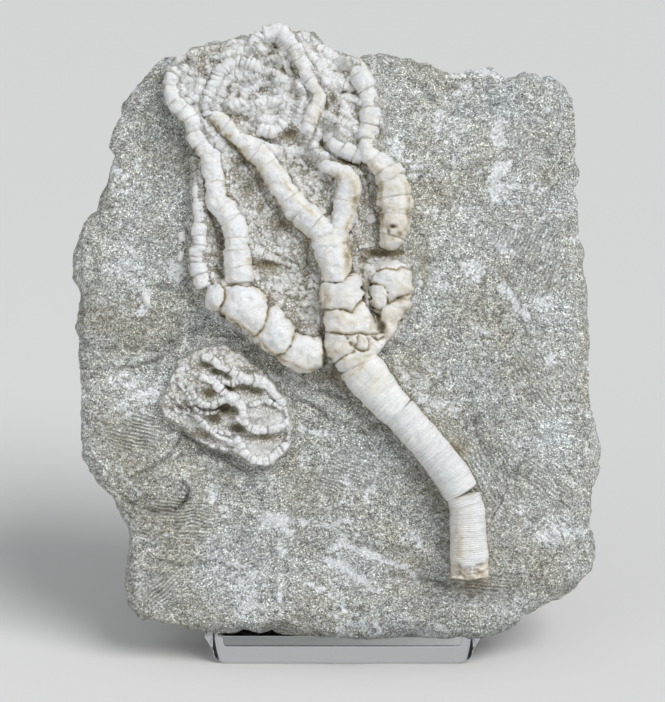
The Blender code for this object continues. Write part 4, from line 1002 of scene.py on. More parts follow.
def crown_ground(u, v):
    """Height above the stone, sediment and plate share of the ground between the arms."""
    crown_top, crown_foot, upper_foot, upper_top = face_points(
        [(0, CROWN_HIGH_Y), (0, CROWN_LOW_Y), (0, 175), (0, 120)])[:, 1]
    upper = ease(v, upper_foot, upper_top)
    smooth = held(spread(u, v, BED_PALE))
    relief, plate, pit = plate_bed(u, v, held(spread(u, v, WIDE_PLATES)))
    rise, joint = plate_rows(u, v, CROWN_ROWS)
    rise = 1.25 * rise
    covered = ease(rise, 0.05, 0.4)

    near, after, ball = pebbles(u + 0.2 * noise(u, v, seed=143), v, 1.55, 141, 0.95)
    bead = held(1 - (near / 0.72) ** 3) * ease(ball, 0.12, 0.3)
    crack = 1 - ease(after - near, 0.04, 0.20)
    field = lumps(5, 142, u, v) + 0.3 * upper + spread(u, v, BEAD_FIELDS)
    field = ease(field, 0.15, 0.75) * (1 - covered)
    wander_u, wander_v = u + 0.5 * lumps(1.1, 147, u, v), v + 0.5 * noise(v / 1.1, u, seed=148)
    near, after, own = pebbles(wander_u, wander_v, 2.3, 144, 1.0)
    chunk = ease(own, 0.40, 0.55) * ease(after - near, 0.02, 0.22)
    chunk = chunk * (1 - 0.6 * upper) * (1 - covered)
    earth = ease(lumps(3.4, 145, u, v) + 0.6 * lumps(1.3, 146, u, v), 0.0, 0.9)
    earth = earth * (1 - 0.8 * chunk) * (1 - 0.8 * covered)
    hollow = spread(u, v, PITS)
    out = np.maximum(fossil_nearness(u, v)[0], 0)
    crevice = bell(out, 0.5)
    filling = hills(u, v, FILLINGS)

    swell = 0.55 * lumps(5, 133, u, v) + 0.32 * lumps(2.1, 134, u, v)
    body = CROWN_LOW + (CROWN_HIGH - CROWN_LOW) * ease(v, crown_foot, crown_top)
    body = body + filling + swell + rise + 0.45 * chunk
    beads = (0.5 * bead * (0.6 + 0.6 * ball) - 0.2 * crack) * field
    body = body + relief * (1 - 0.6 * smooth) * (1 - covered) * (1 - 0.6 * field) + beads
    bank = bell(out, 1.1) * (0.70 - 0.42 * upper + 0.75 * lumps(3.5, 135, u, v))
    body = body - 1.1 * hollow * (1 - 0.6 * covered) + bank - 0.12 * crevice

    weather = ease(lumps(2.4, 139, u, v) + 0.5 * lumps(0.9, 140, u, v), -0.7, 0.8)
    gaps = pit * (1 - 0.6 * smooth) * (1.0 - 0.55 * weather) * (1.25 - 0.95 * upper)
    soil = np.maximum.reduce((
        gaps * (1 - covered),
        (0.62 - 0.14 * upper) * earth * (1 - 0.5 * bead * field),
        0.34 * (1 - bead) * field * (1 - 0.5 * upper),
        (0.5 - 0.2 * upper) * crack * field,
        np.clip(0.26 * filling, 0, 0.75),
        hollow * (1 - 0.6 * covered),
        (0.38 - 0.1 * upper) * crevice,
        0.75 * joint * covered,
        0.9 * line_stains(u, v)))
    level = 0.46 + 0.64 * upper + 0.32 * weather + 0.50 * smooth + 0.22 * plate + (0.45 * bead - 0.05) * field
    most = 0.84 + 0.14 * bead * field + 0.05 * upper + 0.11 * chunk
    plate = np.minimum(level + 0.55 * chunk, most) * (1 - covered) + 0.98 * covered
    plate = held(plate * (1 - 0.6 * held(hollow) * (1 - covered)))
    return body, held(soil), plate


def build_crown_bed(settings):
    """The crown's ground: small plates, rows of ossicles and brown pits between the arms."""
    shape, u, v = grid_over(CROWN, BED_MARGIN + 0.5, settings.bed_cell)
    depth_in = inward_distance(u, v, CROWN)
    to_edge = inward_distance(u, v, SLAB_OUTLINE)
    keep = np.minimum(depth_in + BED_MARGIN, to_edge - 0.15)
    fade = ease(np.minimum(depth_in + 0.9 * lumps(2, 131, u, v), to_edge), -1.4, 0.6)
    body, soil, plate = crown_ground(u, v)
    w = stone_height(u, v) + fade * body - 0.55 * (1 - ease(keep, 0.0, 1.6))
    w = w + 0.07 * rough(u, v, size=0.8, octaves=2, seed=137)
    set_places(shape.verts, u, v, w)
    set_marks(shape, STONE_MARKS, soil=soil * fade, plate=plate * fade)
    return sink_patch(shape, keep, BED_ROOT, "crown_bed")


def build_small_crown(settings):
    """The second crown: a mound of ridges, beads and hollows."""
    shape, u, v = grid_over(SMALL_CROWN, SMALL_MARGIN + 0.3, settings.small_cell)
    depth_in = inward_distance(u, v, SMALL_CROWN)
    keep = depth_in + SMALL_MARGIN
    mound = ease(depth_in + 0.35 * lumps(1.6, 201, u, v) + 0.6 * lumps(4, 202, u, v), -0.5, 0.7)
    relief = plate_bed(u + 40, v, np.full(u.shape, 0.25))[0]
    rise, joint = plate_rows(u, v, SMALL_RIDGES)
    covered = ease(rise, 0.2, 0.9)
    dip = np.clip(spread(u, v, SMALL_HOLLOWS) * (1 - 0.9 * covered), 0, 3)
    level = 2.9 + 0.5 * lumps(6, 205, u, v) + hills(u, v, SMALL_DOMES)
    near, _, own = pebbles(u, v, 1.45, 209, 0.9)
    beaded = held(spread(u, v, SMALL_BEADS))
    bead = held(1 - (near / 0.62) ** 2) ** 0.6 * ease(own, 0.15, 0.3) * beaded
    soft = 0.35 * lumps(1.9, 208, u, v) * (1 - beaded)
    body = level + (0.4 * relief * beaded + 0.5 * bead + soft) * (1 - covered) + rise - dip
    w = stone_height(u, v) + mound * body
    w = w - 0.6 * (1 - ease(keep, 0.0, 1.2)) + 0.05 * rough(u, v, size=0.7, octaves=2, seed=207)
    seams = (0.12 + 0.20 * beaded) * (1 - covered) * (1 - bead)
    olive = 0.75 * ease(dip, 0.15, 1.0) + 0.25 * ease(dip, 1.4, 2.2)
    soil = held(np.maximum.reduce((seams, olive, joint * covered))) * mound
    plate = np.maximum((0.80 + 0.16 * bead + 0.13 * (1 - beaded)) * (1 - covered), 0.98 * covered)
    plate = held(plate - 0.8 * held(dip / 1.4)) * mound
    set_places(shape.verts, u, v, w)
    set_marks(shape, STONE_MARKS, soil=soil, plate=plate)
    return sink_patch(shape, keep, SMALL_ROOT, "second_crown")


# ---------------- stems and arms
ROUNDNESS = 2.35  # of a piece's section: 2 is an oval, more is squarer
END_ROUNDNESS = 2.6
TIP_SHARE = 0.12  # of the full section, at a piece's very end
ROOT = 1.2  # mm a section reaches under the ground
SLIMMEST = 0.62  # a section's half height is at most this share of its width
SINKING = 3.3  # mm a free end goes down into the bed
BREAK_LENGTH = 4.6  # mm of the stem's foot that is broken
WELD = 1e-5  # mm
RING_PITCH = 0.58  # mm from one fine ring of a stem to the next


def lengthened(route, before, after):
    """A route drawn on a little past both its ends, so that neighbouring pieces meet."""
    head = route["place"][0] - route["forward"][0] * before
    tail = route["place"][-1] + route["forward"][-1] * after
    longer = {key: np.concatenate((value[:1], value, value[-1:])) for key, value in route.items()}
    longer["place"] = np.vstack((head, route["place"], tail))
    longer["along"] = np.concatenate(([0], route["along"] + before, [route["along"][-1] + before + after]))
    return longer


def rounded_end(rounding, spacing):
    """Rings that close an end: their distance from it and the section's share of its full size there."""
    step = np.linspace(0, 1, max(6, round(rounding / spacing) + 3)) ** 1.6
    share = (1 - (1 - step) ** END_ROUNDNESS) ** (1 / END_ROUNDNESS)
    share[0] = TIP_SHARE
    return np.concatenate(([0], step * rounding)), np.concatenate(([0], share))


def rings_of(name, spacing):
    """Along, section share, place, width, height and forward for every ring of a piece, its ends included."""
    fine = lengthened(smooth_route(FOSSILS[name][2], 0.12), *JOINT_OVERLAPS.get(name, JOINT_OVERLAP))
    length = fine["along"][-1]
    before, after = END_ROUNDING.get(name, JOINT_ROUNDING)
    start, start_share = rounded_end(before, spacing)
    end, end_share = rounded_end(after, spacing)
    count = max(3, round((length - before - after) / spacing))
    middle = np.linspace(before + spacing, length - after - spacing, count)
    along = np.concatenate((start, middle, length - end[::-1]))
    share = np.concatenate((start_share, np.ones(len(middle)), end_share[::-1]))
    width, height = (np.interp(along, fine["along"], fine[key]) for key in ("width", "height"))
    place, forward = (sampled(along, fine["along"], fine[key]) for key in ("place", "forward"))
    return along, share, place, width, height, forward / np.hypot(*forward.T)[:, None]


def ossicle_pattern(along, length, ossicle, seed, uneven):
    """For each length along an arm: distance to the nearest joint, the joint's number and the plate's."""
    count = max(1, round(length / ossicle))
    joints = np.linspace(0, length, count + 1)
    joints[1:-1] += (chance(np.arange(1, count), seed) - 0.5) * ossicle * 0.75 * uneven
    plate = np.clip(np.searchsorted(joints, along) - 1, 0, count - 1)
    before, after = along - joints[plate], joints[plate + 1] - along
    inner = np.minimum(before, after)
    inner = np.where((plate == 0) & (before < after), FAR, inner)
    inner = np.where((plate == count - 1) & (after < before), FAR, inner)
    return inner, plate + (after < before), plate


def squared(wave, share):
    """A sine or cosine drawn out to the section's roundness, at a share of its full size."""
    return np.sign(wave) * np.abs(wave) ** (2 / ROUNDNESS) * share


def build_fossil(name, number, settings):
    """One stem or arm piece: a round section drawn along its route, with plates, joints and wear."""
    sides, (ossicle, bulge, groove, uneven), _ = FOSSILS[name]
    stem = name.startswith("stem")
    rings = rings_of(name, settings.ring_spacing / MM)
    last = len(rings[0]) - 1
    length = rings[0][-1]
    shape, s, t = flat_grid(last, sides)
    ring = np.rint(s * last).astype(int)
    turn = 2 * math.pi * np.rint(t * sides) / sides
    cosine, sine = np.cos(turn), np.sin(turn)
    along, share, route, full_width, full_height, forward = (values[ring] for values in rings)
    across = np.column_stack((forward[:, 1], -forward[:, 0]))

    # the section: each plate a little wider, taller or off the line, and the free ends sunk
    run = along + 0.28 * noise(cosine * 1.3 + along / 3, sine * 1.3, number, seed=301)
    inner, nearest, plate = ossicle_pattern(run, length, ossicle, number, uneven)
    shift = (chance(plate, number, 5) - 0.5) * 0.8 * uneven
    grow = (chance(plate, number, 6) - 0.5) * 0.30 * uneven
    lift = (chance(plate, number, 7) - 0.5) * 0.7 * uneven
    settle = ease(inner, 0.0, 0.35)
    sink_start, sink_end = SINKING_ENDS.get(name, (0, 0))
    sunk = np.zeros(run.shape)
    if sink_start:
        sunk = np.maximum(sunk, 1 - ease(along, 0.0, sink_start))
    if sink_end:
        sunk = np.maximum(sunk, ease(along, length - sink_end, length))
    swelling = 0.09 * noise(run / 2.6, number, seed=351) + 0.06 * noise(run / 1.0, number, seed=352)
    width = full_width * (1 + grow * settle) * (1 + (0.25 if stem else 1.0) * swelling) * (1 - 0.18 * sunk)
    height = full_height + lift * settle * np.minimum(1, full_width / 5)
    half = np.minimum((height + ROOT) / 2, SLIMMEST * width)
    middle = height - half - SINKING * sunk
    sway = (0.06 if stem else 0.30) * noise(along / 2.4, number, seed=353)
    place = route + across * (width / 2 * squared(cosine, share) + (shift * settle + sway) * share)[:, None]
    u, v, w = place[:, 0], place[:, 1], middle + half * squared(sine, share)

    # wear: dents, chips, joints, sutures and clefts
    dents = 0.24 * lumps(3.1, 311, u, v, w) + 0.13 * lumps(1.2, 312, u, v, w)
    chipped = (0.0 if stem else 1.0) * ease(lumps(2.0, 361, u, v, w), 0.10, 0.62)
    offset = (0.5 if stem else 1.3) * dents + 0.06 * lumps(0.55, 313, u, v, w) - 0.30 * chipped
    worn = ease(lumps(1.9, 316, u, v, w) + 0.4 * lumps(0.8, 317, u, v), -0.6, 0.6)
    seam = np.zeros(u.shape)
    if groove:
        pillow = 1 - np.exp(-np.clip(inner, 0, 3) / (0.16 * ossicle + 0.2))
        opened = ease(chance(nearest, number, 9) + 0.8 * uneven, 0.35, 0.85)
        notch = bell(inner, min(0.17, 0.085 * ossicle)) * opened
        seam = notch * (0.25 + 0.75 * worn)
        offset = offset + bulge * pillow - groove * notch * (0.45 + 0.65 * worn)
    upper = ease(sine, -0.45, 0.05)
    gap = suture_distance(u, v) + 0.16 * lumps(0.8, 321, u, v)
    wide = SUTURE_WIDTH * (1.0 + 0.5 * lumps(2.2, 322, u, v))
    notch = bell(gap, wide) * upper
    core = bell(gap, 0.55 * wide) * upper
    deep = settings.suture_depth / MM * (1 + 0.5 * lumps(2.6, 323, u, v))
    cleft = hills(u, v, CLEFTS) * upper
    offset = offset - deep * notch + 0.42 * (1 - np.exp(-np.clip(gap, 0, 5) / 1.1)) * upper - cleft
    broken = 0.0
    if name == "stem_lower":
        broken = ease(along - length + BREAK_LENGTH - 1.3 * noise(turn * 1.4, 0.0, seed=331), 0.0, 1.6)
        hackly = 0.8 + 0.9 * lumps(1.1, 332, u, v, w) + 0.5 * lumps(0.5, 334, u, v)
        offset = offset - 1.35 * broken * hackly * ease(sine, -0.2, 0.5)
        v = v + broken * (0.5 * lumps(1.6, 333, u, w) - 0.1) * ease(share, 1.0, 0.0)
    solid = ease(share, 0.35, 0.85)
    u = u + across[:, 0] * cosine * offset * solid
    v = v + across[:, 1] * cosine * offset * solid
    w = w + sine * offset * solid

    # stains and painted shade: ochre stain and painted shade on the low sides and near the ground, then the
    # joints, the marked places and the broken foot
    low_side_stain_and_shade = (1 - ease(sine, 0.05, 0.72)) * (0.6 + 0.5 * lumps(2.4, 342, u, v, w)) + 0.22 * chipped
    low_side_stain_and_shade = low_side_stain_and_shade + 0.8 * (1 - ease(w - 2.4 - 0.8 * lumps(1.3, 343, u, v), 0.0, 1.3))
    stain = np.maximum.reduce((
        0.8 * (line_stains(u, v) * (0.65 + 0.5 * lumps(1.2, 344, u, v, w))),
        (0.32 + 0.3 * lumps(0.9, 345, u, v)) * broken,
        0.50 * notch + 0.5 * core,
        0.36 * seam,
        (0.40 if stem else 0.60) * low_side_stain_and_shade,
        spread(u, v, STAINS_AND_SHADE) * (0.7 + 0.5 * lumps(1.5, 341, u, v, w)),
        0.9 * held(cleft / 0.8)))
    cleft = np.maximum.reduce((cleft / 1.1, 0.46 * seam, 0.45 * core * worn))
    set_places(shape.verts, u, v, w)
    set_marks(shape, FOSSIL_MARKS, stain=held(stain), cleft=held(cleft), along=run,
              ring=np.full(u.shape, RING_STRENGTHS.get(name, 0.0)) * (1 - broken))
    bmesh.ops.remove_doubles(shape, verts=shape.verts, dist=WELD)
    bmesh.ops.recalc_face_normals(shape, faces=shape.faces)
    return write_piece(shape, "fossil_" + name)


def build_loose_plates():
    """Small separate plates, each a flattened ball with an uneven face, sunk in the stone."""
    shape = bmesh.new()
    middles = face_points([plate[:2] for plate in LOOSE_PLATES])
    ground = stone_height(*middles.T)
    for number, (_, _, wide, tall, turn, height) in enumerate(LOOSE_PLATES):
        made = bmesh.ops.create_icosphere(shape, subdivisions=4, radius=1.0)["verts"]
        mu, mv = middles[number]
        places = np.array([vert.co[:] for vert in made])
        swell = 1 + 0.14 * noise(*(places * 1.4 + number * 7).T, seed=401)
        swell = swell + 0.05 * noise(*(places * 4).T, seed=402)
        places = np.sign(places) * np.abs(places) ** 0.8 * swell[:, None]
        angle = math.radians(turn)
        du, dv = places[:, 0] * wide, places[:, 1] * tall
        set_places(made, mu + du * math.cos(angle) - dv * math.sin(angle),
                   mv + du * math.sin(angle) + dv * math.cos(angle),
                   ground[number] + height * (places[:, 2] - 0.15))
    set_marks(shape, FOSSIL_MARKS, stain=np.full(len(shape.verts), 0.1))
    return write_piece(shape, "loose_plates")


# ---------------- the clear stand, in metres
STAND_DRAFT = 2.4 * MM
STAND_CORNER = 3.5 * MM
CORNER_STEPS = 12
FIN_TOP = 6 * MM
FIN_HEEL = 5 * MM
FIN_NOSE = 1.5 * MM
BEVEL_STEPS = 4
SHARP = math.radians(30)  # between faces, an edge that is rounded
CRISP = math.radians(35)  # between faces, an edge that shades sharp


def clear_block(outline, way, name, settings):
    """A flat outline drawn out into a block, with its sharp edges rounded as flame polishing does."""
    shape = bmesh.new()
    verts = [shape.verts.new(place) for place in outline]
    face = bmesh.ops.contextual_create(shape, geom=verts)["faces"]
    grown = bmesh.ops.extrude_face_region(shape, geom=face)["geom"]
    far = [item for item in grown if isinstance(item, bmesh.types.BMVert)]
    bmesh.ops.translate(shape, vec=way, verts=far)
    bmesh.ops.recalc_face_normals(shape, faces=shape.faces)
    sharp = [edge for edge in shape.edges if edge.calc_face_angle(0) > SHARP]
    bmesh.ops.bevel(shape, geom=sharp, offset=settings.polished_edge, offset_type="OFFSET",
                    segments=BEVEL_STEPS, profile=0.5, affect="EDGES", material=-1, clamp_overlap=True)
    mesh = mesh_of(shape, name)
    mesh.shade_smooth()
    mesh.set_sharp_from_angle(angle=CRISP)
    return placed(name, mesh)


def build_stand_base(settings):
    """The clear foot: drafted sides and rounded lower corners."""
    half = BASE_HIGH.x - STAND_DRAFT
    turns = [math.radians(90 * step / CORNER_STEPS) for step in range(CORNER_STEPS + 1)]
    right = [(BASE_HIGH.x, BASE_HIGH.z)]
    right += [(half - STAND_CORNER * (1 - math.cos(turn)), STAND_CORNER * (1 - math.sin(turn)))
              for turn in turns]
    outline = [(x, BASE_LOW.y, z) for x, z in right + [(-x, z) for x, z in right[::-1]]]
    return clear_block(outline, (0, BASE_HIGH.y - BASE_LOW.y, 0), "clear_base", settings)


def build_stand_fin(node, settings):
    """One clear fin, whose front edge runs parallel to the slab's back."""
    low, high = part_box(node)
    back = -(THICKNESS + BED_GAP) * MM

    def behind(z):
        rise = (z - FOOT.z - back * math.sin(LEAN)) / math.cos(LEAN)
        return FOOT.y + rise * math.sin(LEAN) - back * math.cos(LEAN)

    top = behind(high.z)
    profile = [(behind(low.z), low.z), (BASE_HIGH.y, low.z), (BASE_HIGH.y, low.z + FIN_HEEL),
               (top + FIN_TOP, high.z - FIN_NOSE), (top + FIN_TOP - FIN_NOSE, high.z), (top, high.z)]
    outline = [(low.x, y, z) for y, z in profile]
    return clear_block(outline, (high.x - low.x, 0, 0), node.replace("stand_fin", "clear_fin"), settings)


# ---------------- shader expressions
class Flow:
    """A number, vector or colour flowing out of one node of a material."""

    def __init__(self, tree, socket=None):
        self.tree = tree
        self.socket = socket

    def add(self, kind, settings=None, inputs=None, output=0):
        """Adds one node: its settings or a ramp's stops first, then values or links to its sockets."""
        node = self.tree.nodes.new(kind)
        for key, value in (settings or {}).items():
            if key != "stops":
                setattr(node, key, value)
                continue
            ramp = node.color_ramp
            while len(ramp.elements) < len(value):
                ramp.elements.new(1.0)
            for element, (position, tone) in zip(ramp.elements, value):
                element.position = position
                element.color = colour(tone)
        for key, value in (inputs or {}).items():
            if isinstance(value, Flow):
                self.tree.links.new(value.socket, node.inputs[key])
            else:
                node.inputs[key].default_value = value
        return Flow(self.tree, node.outputs[output] if node.outputs else None)

    def sum_with(self, operation, first, second, clamp=False):
        """A Math node's result."""
        return self.add("ShaderNodeMath", {"operation": operation, "use_clamp": clamp}, {0: first, 1: second})

    def __add__(self, other):
        return self.sum_with("ADD", self, other)

    __radd__ = __add__

    def __sub__(self, other):
        return self.sum_with("SUBTRACT", self, other)

    def __rsub__(self, other):
        return self.sum_with("SUBTRACT", other, self)

    def __mul__(self, other):
        return self.sum_with("MULTIPLY", self, other)

    __rmul__ = __mul__

    def clamped(self):
        """This number held between 0 and 1."""
        return self.sum_with("ADD", self, 0.0, clamp=True)

    def wave(self, pitch=1.0):
        """A sine wave over this number, each turn a pitch long."""
        return self.add("ShaderNodeMath", {"operation": "SINE"}, {0: self * (2 * math.pi / pitch)})

    def ramp(self, *stops):
        """The colour or grey that this number picks between stops of (position, tone)."""
        return self.add("ShaderNodeValToRGB", {"stops": stops}, {0: self})

    def mix(self, first, second):
        """A colour between two, by this number."""
        return self.add("ShaderNodeMix", {"data_type": "RGBA"},
                        {0: self, 6: colour(first), 7: colour(second)}, 2)

    def tinted(self, other):
        """This colour times another."""
        return self.add("ShaderNodeMix", {"data_type": "RGBA", "blend_type": "MULTIPLY"},
                        {0: 1.0, 6: self, 7: colour(other)}, 2)


def colour(value):
    """A flow as it is, or a tuple or grey as a colour with alpha."""
    if isinstance(value, Flow):
        return value
    return (*value, 1.0) if hasattr(value, "__len__") else (value, value, value, 1.0)


def new_finish(name):
    """An empty material and a flow to build its nodes from."""
    finish = bpy.data.materials.new(name)
    finish.use_nodes = True
    finish.node_tree.nodes.clear()
    return finish, Flow(finish.node_tree)


def surface(flow, inputs):
    """The shader and the output node."""
    shader = flow.add("ShaderNodeBsdfPrincipled", None, inputs)
    flow.add("ShaderNodeOutputMaterial", None, {"Surface": shader})


def place_in_mm(flow):
    """The object's own coordinates in millimetres."""
    spot = flow.add("ShaderNodeTexCoord", output="Object")
    return flow.add("ShaderNodeVectorMath", {"operation": "SCALE"}, {0: spot, "Scale": 1000.0})


def moved(flow, vector, reach, start):
    """A vector times a reach in mm, added to a start."""
    return flow.add("ShaderNodeVectorMath", {"operation": "MULTIPLY_ADD"},
                    {0: vector, 1: (reach,) * 3, 2: start})


def cloud(flow, spot, size, detail=2.0, output=0):
    """Soft noise, its features size mm wide."""
    return flow.add("ShaderNodeTexNoise", None, {"Vector": spot, "Scale": 1 / size, "Detail": detail}, output)


def grains(flow, spot, size):
    """Cells size mm wide, each with its own number."""
    tone = flow.add("ShaderNodeTexVoronoi", None, {"Vector": spot, "Scale": 1 / size}, "Color")
    return flow.add("ShaderNodeSeparateColor", None, {0: tone})


def cell_edge(flow, spot, size):
    """Distance to the nearest edge of cells size mm wide."""
    return flow.add("ShaderNodeTexVoronoi", {"feature": "DISTANCE_TO_EDGE"},
                    {"Vector": spot, "Scale": 1 / size})


def mark(flow, name):
    """A number stored with the mesh."""
    return flow.add("ShaderNodeAttribute", {"attribute_name": name}, output="Fac")


def bump(flow, height, depth, under=None):
    """A bumped normal from a height, its relief so many metres deep, on top of another."""
    inputs = {"Height": height, "Distance": depth, "Strength": 1.0}
    if under is not None:
        inputs["Normal"] = under
    return flow.add("ShaderNodeBump", None, inputs)


def bare_stone(flow, spot, speck, fleck, middling, ridge, stone_tone):
    """Salt-and-pepper grain with warm and cool drift and slanting streaks, duller on the tool ridges."""
    grain = speck.ramp((0.0, 0.22), (0.22, 0.68), (0.5, 0.98), (0.78, 1.30), (1.0, 2.35))
    grain = grain.tinted(fleck.ramp((0.0, 0.66), (0.22, 0.92), (0.75, 1.04), (1.0, 1.38)))
    grain = grain.tinted(cloud(flow, spot, 0.36, 1.0).ramp((0.30, 0.62), (0.5, 1.0), (0.70, 1.42)))
    grain = (ridge * 0.55).clamped().mix(grain, 0.95)
    patch = middling.ramp((0.30, 0.80), (0.5, 1.0), (0.70, 1.22))
    drift = cloud(flow, spot, 17.0, 3.0).ramp(
        (0.28, (0.86, 0.83, 0.74)), (0.5, (1.0, 1.0, 0.99)), (0.72, (1.12, 1.17, 1.24)))
    slanting = flow.add("ShaderNodeMapping", None, {"Vector": spot, "Rotation": (0.0, math.radians(38), 0.0),
                                                    "Scale": (0.25, 1.0, 1.1)})
    streak = cloud(flow, slanting, 0.9).ramp((0.32, 0.84), (0.5, 1.0), (0.68, 1.20))
    return grain.tinted(patch).tinted(drift).tinted(streak).tinted(tuple(stone_tone))


def stone_finish(name, settings):
    """Grey calcareous stone with a salt-and-pepper grain, small plates, pale ghosts and brown sediment."""
    finish, flow = new_finish(name)
    spot = place_in_mm(flow)
    speck, fleck = grains(flow, spot, 0.255), grains(flow, spot, 0.50)
    fine, middling = cloud(flow, spot, 0.45, 3.0), cloud(flow, spot, 2.6, 3.0)
    pale, soil, plate, ridge = (mark(flow, stored) for stored in ("pale", "soil", "plate", "ridge"))
    bare = bare_stone(flow, spot, speck, fleck, middling, ridge, settings.stone_tone)

    bent = moved(flow, cloud(flow, spot, 1.2, output=1), 0.7, spot)
    edge, own = cell_edge(flow, bent, 1.05), grains(flow, bent, 1.05)
    chalk = speck.ramp((0.0, (0.46, 0.475, 0.49)), (0.25, (0.72, 0.745, 0.765)), (1.0, (0.92, 0.945, 0.97)))
    chalk = chalk.tinted(edge.ramp((0.0, 0.78), (0.09, 0.97), (0.3, 1.06)))
    chalk = chalk.tinted(own.ramp((0.0, 0.88), (1.0, 1.06)))
    tone = (pale * 2.1 + fine * 2.6 + own * 1.5 - 2.38).clamped().mix(bare, chalk)

    ossicle = middling.ramp((0.30, (0.74, 0.74, 0.715)), (0.50, (0.85, 0.86, 0.865)),
                            (0.72, (0.92, 0.935, 0.95)))
    ossicle = ossicle.tinted(speck.ramp((0.0, 0.72), (0.18, 0.92), (0.55, 1.0), (1.0, 1.10)))
    bead = own.ramp((0.0, (0.58, 0.565, 0.51)), (0.35, (0.78, 0.78, 0.755)), (0.7, (0.88, 0.89, 0.895)),
                    (1.0, (0.94, 0.955, 0.965)))
    bead = bead.tinted(edge.ramp((0.0, (0.42, 0.385, 0.31)), (0.06, (0.68, 0.655, 0.60)),
                                 (0.14, (0.98, 0.98, 0.975)), (0.3, (1.06, 1.06, 1.06))))
    bead = bead.tinted(speck.ramp((0.0, 0.60), (0.2, 0.90), (0.6, 1.0), (1.0, 1.12)))
    smoother = plate.ramp((0.85, 0.0), (0.96, 1.0))
    shown = (plate * 5.6 + own * 2.8 - 3.3).clamped()
    tone = shown.mix(tone, smoother.mix(bead, ossicle))
    domes = edge.ramp((0.0, 0.0), (0.12, 0.7), (0.4, 1.0)) * shown * (1.0 - smoother)
    clay = middling.ramp((0.3, (0.155, 0.128, 0.070)), (0.55, (0.285, 0.245, 0.148)),
                         (0.8, (0.43, 0.385, 0.265)))
    clay = clay.tinted(speck.ramp((0.0, 0.55), (0.25, 0.92), (0.7, 1.1), (1.0, 1.7)))
    tone = (soil * 0.92).clamped().mix(tone, clay)

    ridges = mark(flow, "phase").wave() * ridge
    # Painted light on the crests and painted shade in the grooves of the tool ridges, following their wave.
    tone = (ridges * 0.5 + 0.5).ramp((0.0, 0.55), (0.5, 0.98), (1.0, 1.30)).tinted(tone)
    # Painted shade where the shade mark is above zero, painted light where it is below zero.
    tone = (mark(flow, "shade") * 0.5 + 0.5).ramp((0.0, 1.0), (0.5, 0.74), (1.0, 0.40)).tinted(tone)
    relief = fine * 0.6 + middling * 0.7 + speck * 0.35 + fleck * 0.35 + ridges * 0.5 + domes * 0.7
    surface(flow, {"Base Color": tone.tinted(1.35), "Roughness": 0.86, "Specular IOR Level": 0.30,
                   "Normal": bump(flow, relief, 0.00030)})
    return finish


def ringed(flow, spot, middling, tone, normal):
    """A stem's colour and normal with growth streaks across it and fine rings."""
    along = mark(flow, "along")
    across = moved(flow, spot, 0.10, flow.add("ShaderNodeCombineXYZ", None, {"X": along}))
    growth = cloud(flow, across, 0.62, 3.0)
    tone = tone.tinted(growth.ramp((0.30, (0.83, 0.83, 0.825)), (0.48, (0.985, 0.98, 0.97)),
                                   (0.68, (1.06, 1.05, 1.03))))
    normal = bump(flow, growth, 0.00016, normal)
    strength = middling.ramp((0.34, 0.35), (0.6, 1.0)) * mark(flow, "ring")
    rings = along.wave(RING_PITCH) * strength
    tone = (rings * 0.5 + 0.5).ramp((0.0, 0.86), (0.5, 1.0), (1.0, 1.02)).tinted(tone)
    return tone, bump(flow, rings, 0.00009, normal)


def calcite_finish(name, settings, rings):
    """Cream-white plates with ochre stains, painted shade on their low sides, hairline cracks and, on the
    stems, fine rings.
    """
    finish, flow = new_finish(name)
    spot = place_in_mm(flow)
    fine, middling = cloud(flow, spot, 0.5, 3.0), cloud(flow, spot, 2.4, 3.0)
    wide = cloud(flow, spot, 7.5)
    speck = grains(flow, spot, 0.34)

    tone = wide.ramp((0.32, (0.90, 0.915, 0.92)), (0.5, (1.0, 1.0, 1.0)), (0.70, (1.035, 1.03, 1.02)))
    tone = tone.tinted(tuple(settings.calcite_tone))
    tone = tone.tinted(middling.ramp((0.28, (0.80, 0.815, 0.82)), (0.46, (0.97, 0.97, 0.97)),
                                     (0.72, (1.04, 1.04, 1.03))))
    tone = tone.tinted(speck.ramp((0.0, 0.90 if rings else 0.80), (0.18, 0.97), (0.7, 1.0), (1.0, 1.05)))
    # The stain mark brings ochre stains and also the painted shade of the pieces' low sides.
    dirt_and_shade = (mark(flow, "stain") * fine.ramp((0.30, 0.70), (0.50, 1.0), (0.66, 1.2))).clamped()
    ochre_and_shade_tone = dirt_and_shade.ramp((0.0, (0.78, 0.74, 0.64)), (0.35, (0.62, 0.555, 0.42)), (0.65, (0.44, 0.375, 0.25)),
                      (1.0, (0.24, 0.19, 0.115)))
    tone = dirt_and_shade.ramp((0.0, 0.0), (0.30, 0.62), (0.75, 1.0)).mix(tone, ochre_and_shade_tone)
    clay = fine.ramp((0.3, (0.09, 0.075, 0.045)), (0.7, (0.20, 0.175, 0.12)))
    tone = (mark(flow, "cleft") * 1.1).clamped().mix(tone, clay)
    edge = cell_edge(flow, moved(flow, cloud(flow, spot, 1.6, output=1), 1.6, spot), 4.2)
    crack = edge.ramp((0.0, 1.0), (0.008, 0.7), (0.018, 0.0)) * wide.ramp((0.50, 0.0), (0.60, 1.0))
    tone = (crack * (0.0 if rings else 0.40)).clamped().mix(tone, (0.33, 0.29, 0.21))

    normal = bump(flow, fine * 0.7 + middling * 0.5 + speck * 0.14 - crack * 0.3, 0.00013)
    if rings:
        tone, normal = ringed(flow, spot, middling, tone, normal)
    surface(flow, {"Base Color": tone, "Roughness": 0.62, "Specular IOR Level": 0.35, "Normal": normal})
    return finish


def acrylic_finish(name, settings):
    """Clear cast acrylic."""
    finish, flow = new_finish(name)
    surface(flow, {"Base Color": (*settings.acrylic_tone, 1.0), "Roughness": 0.02, "IOR": 1.49,
                   "Transmission Weight": 1.0})
    return finish


def finish_named(name, make, *values):
    """The material of that name, made the first time it is asked for."""
    return bpy.data.materials.get(name) or make(name, *values)


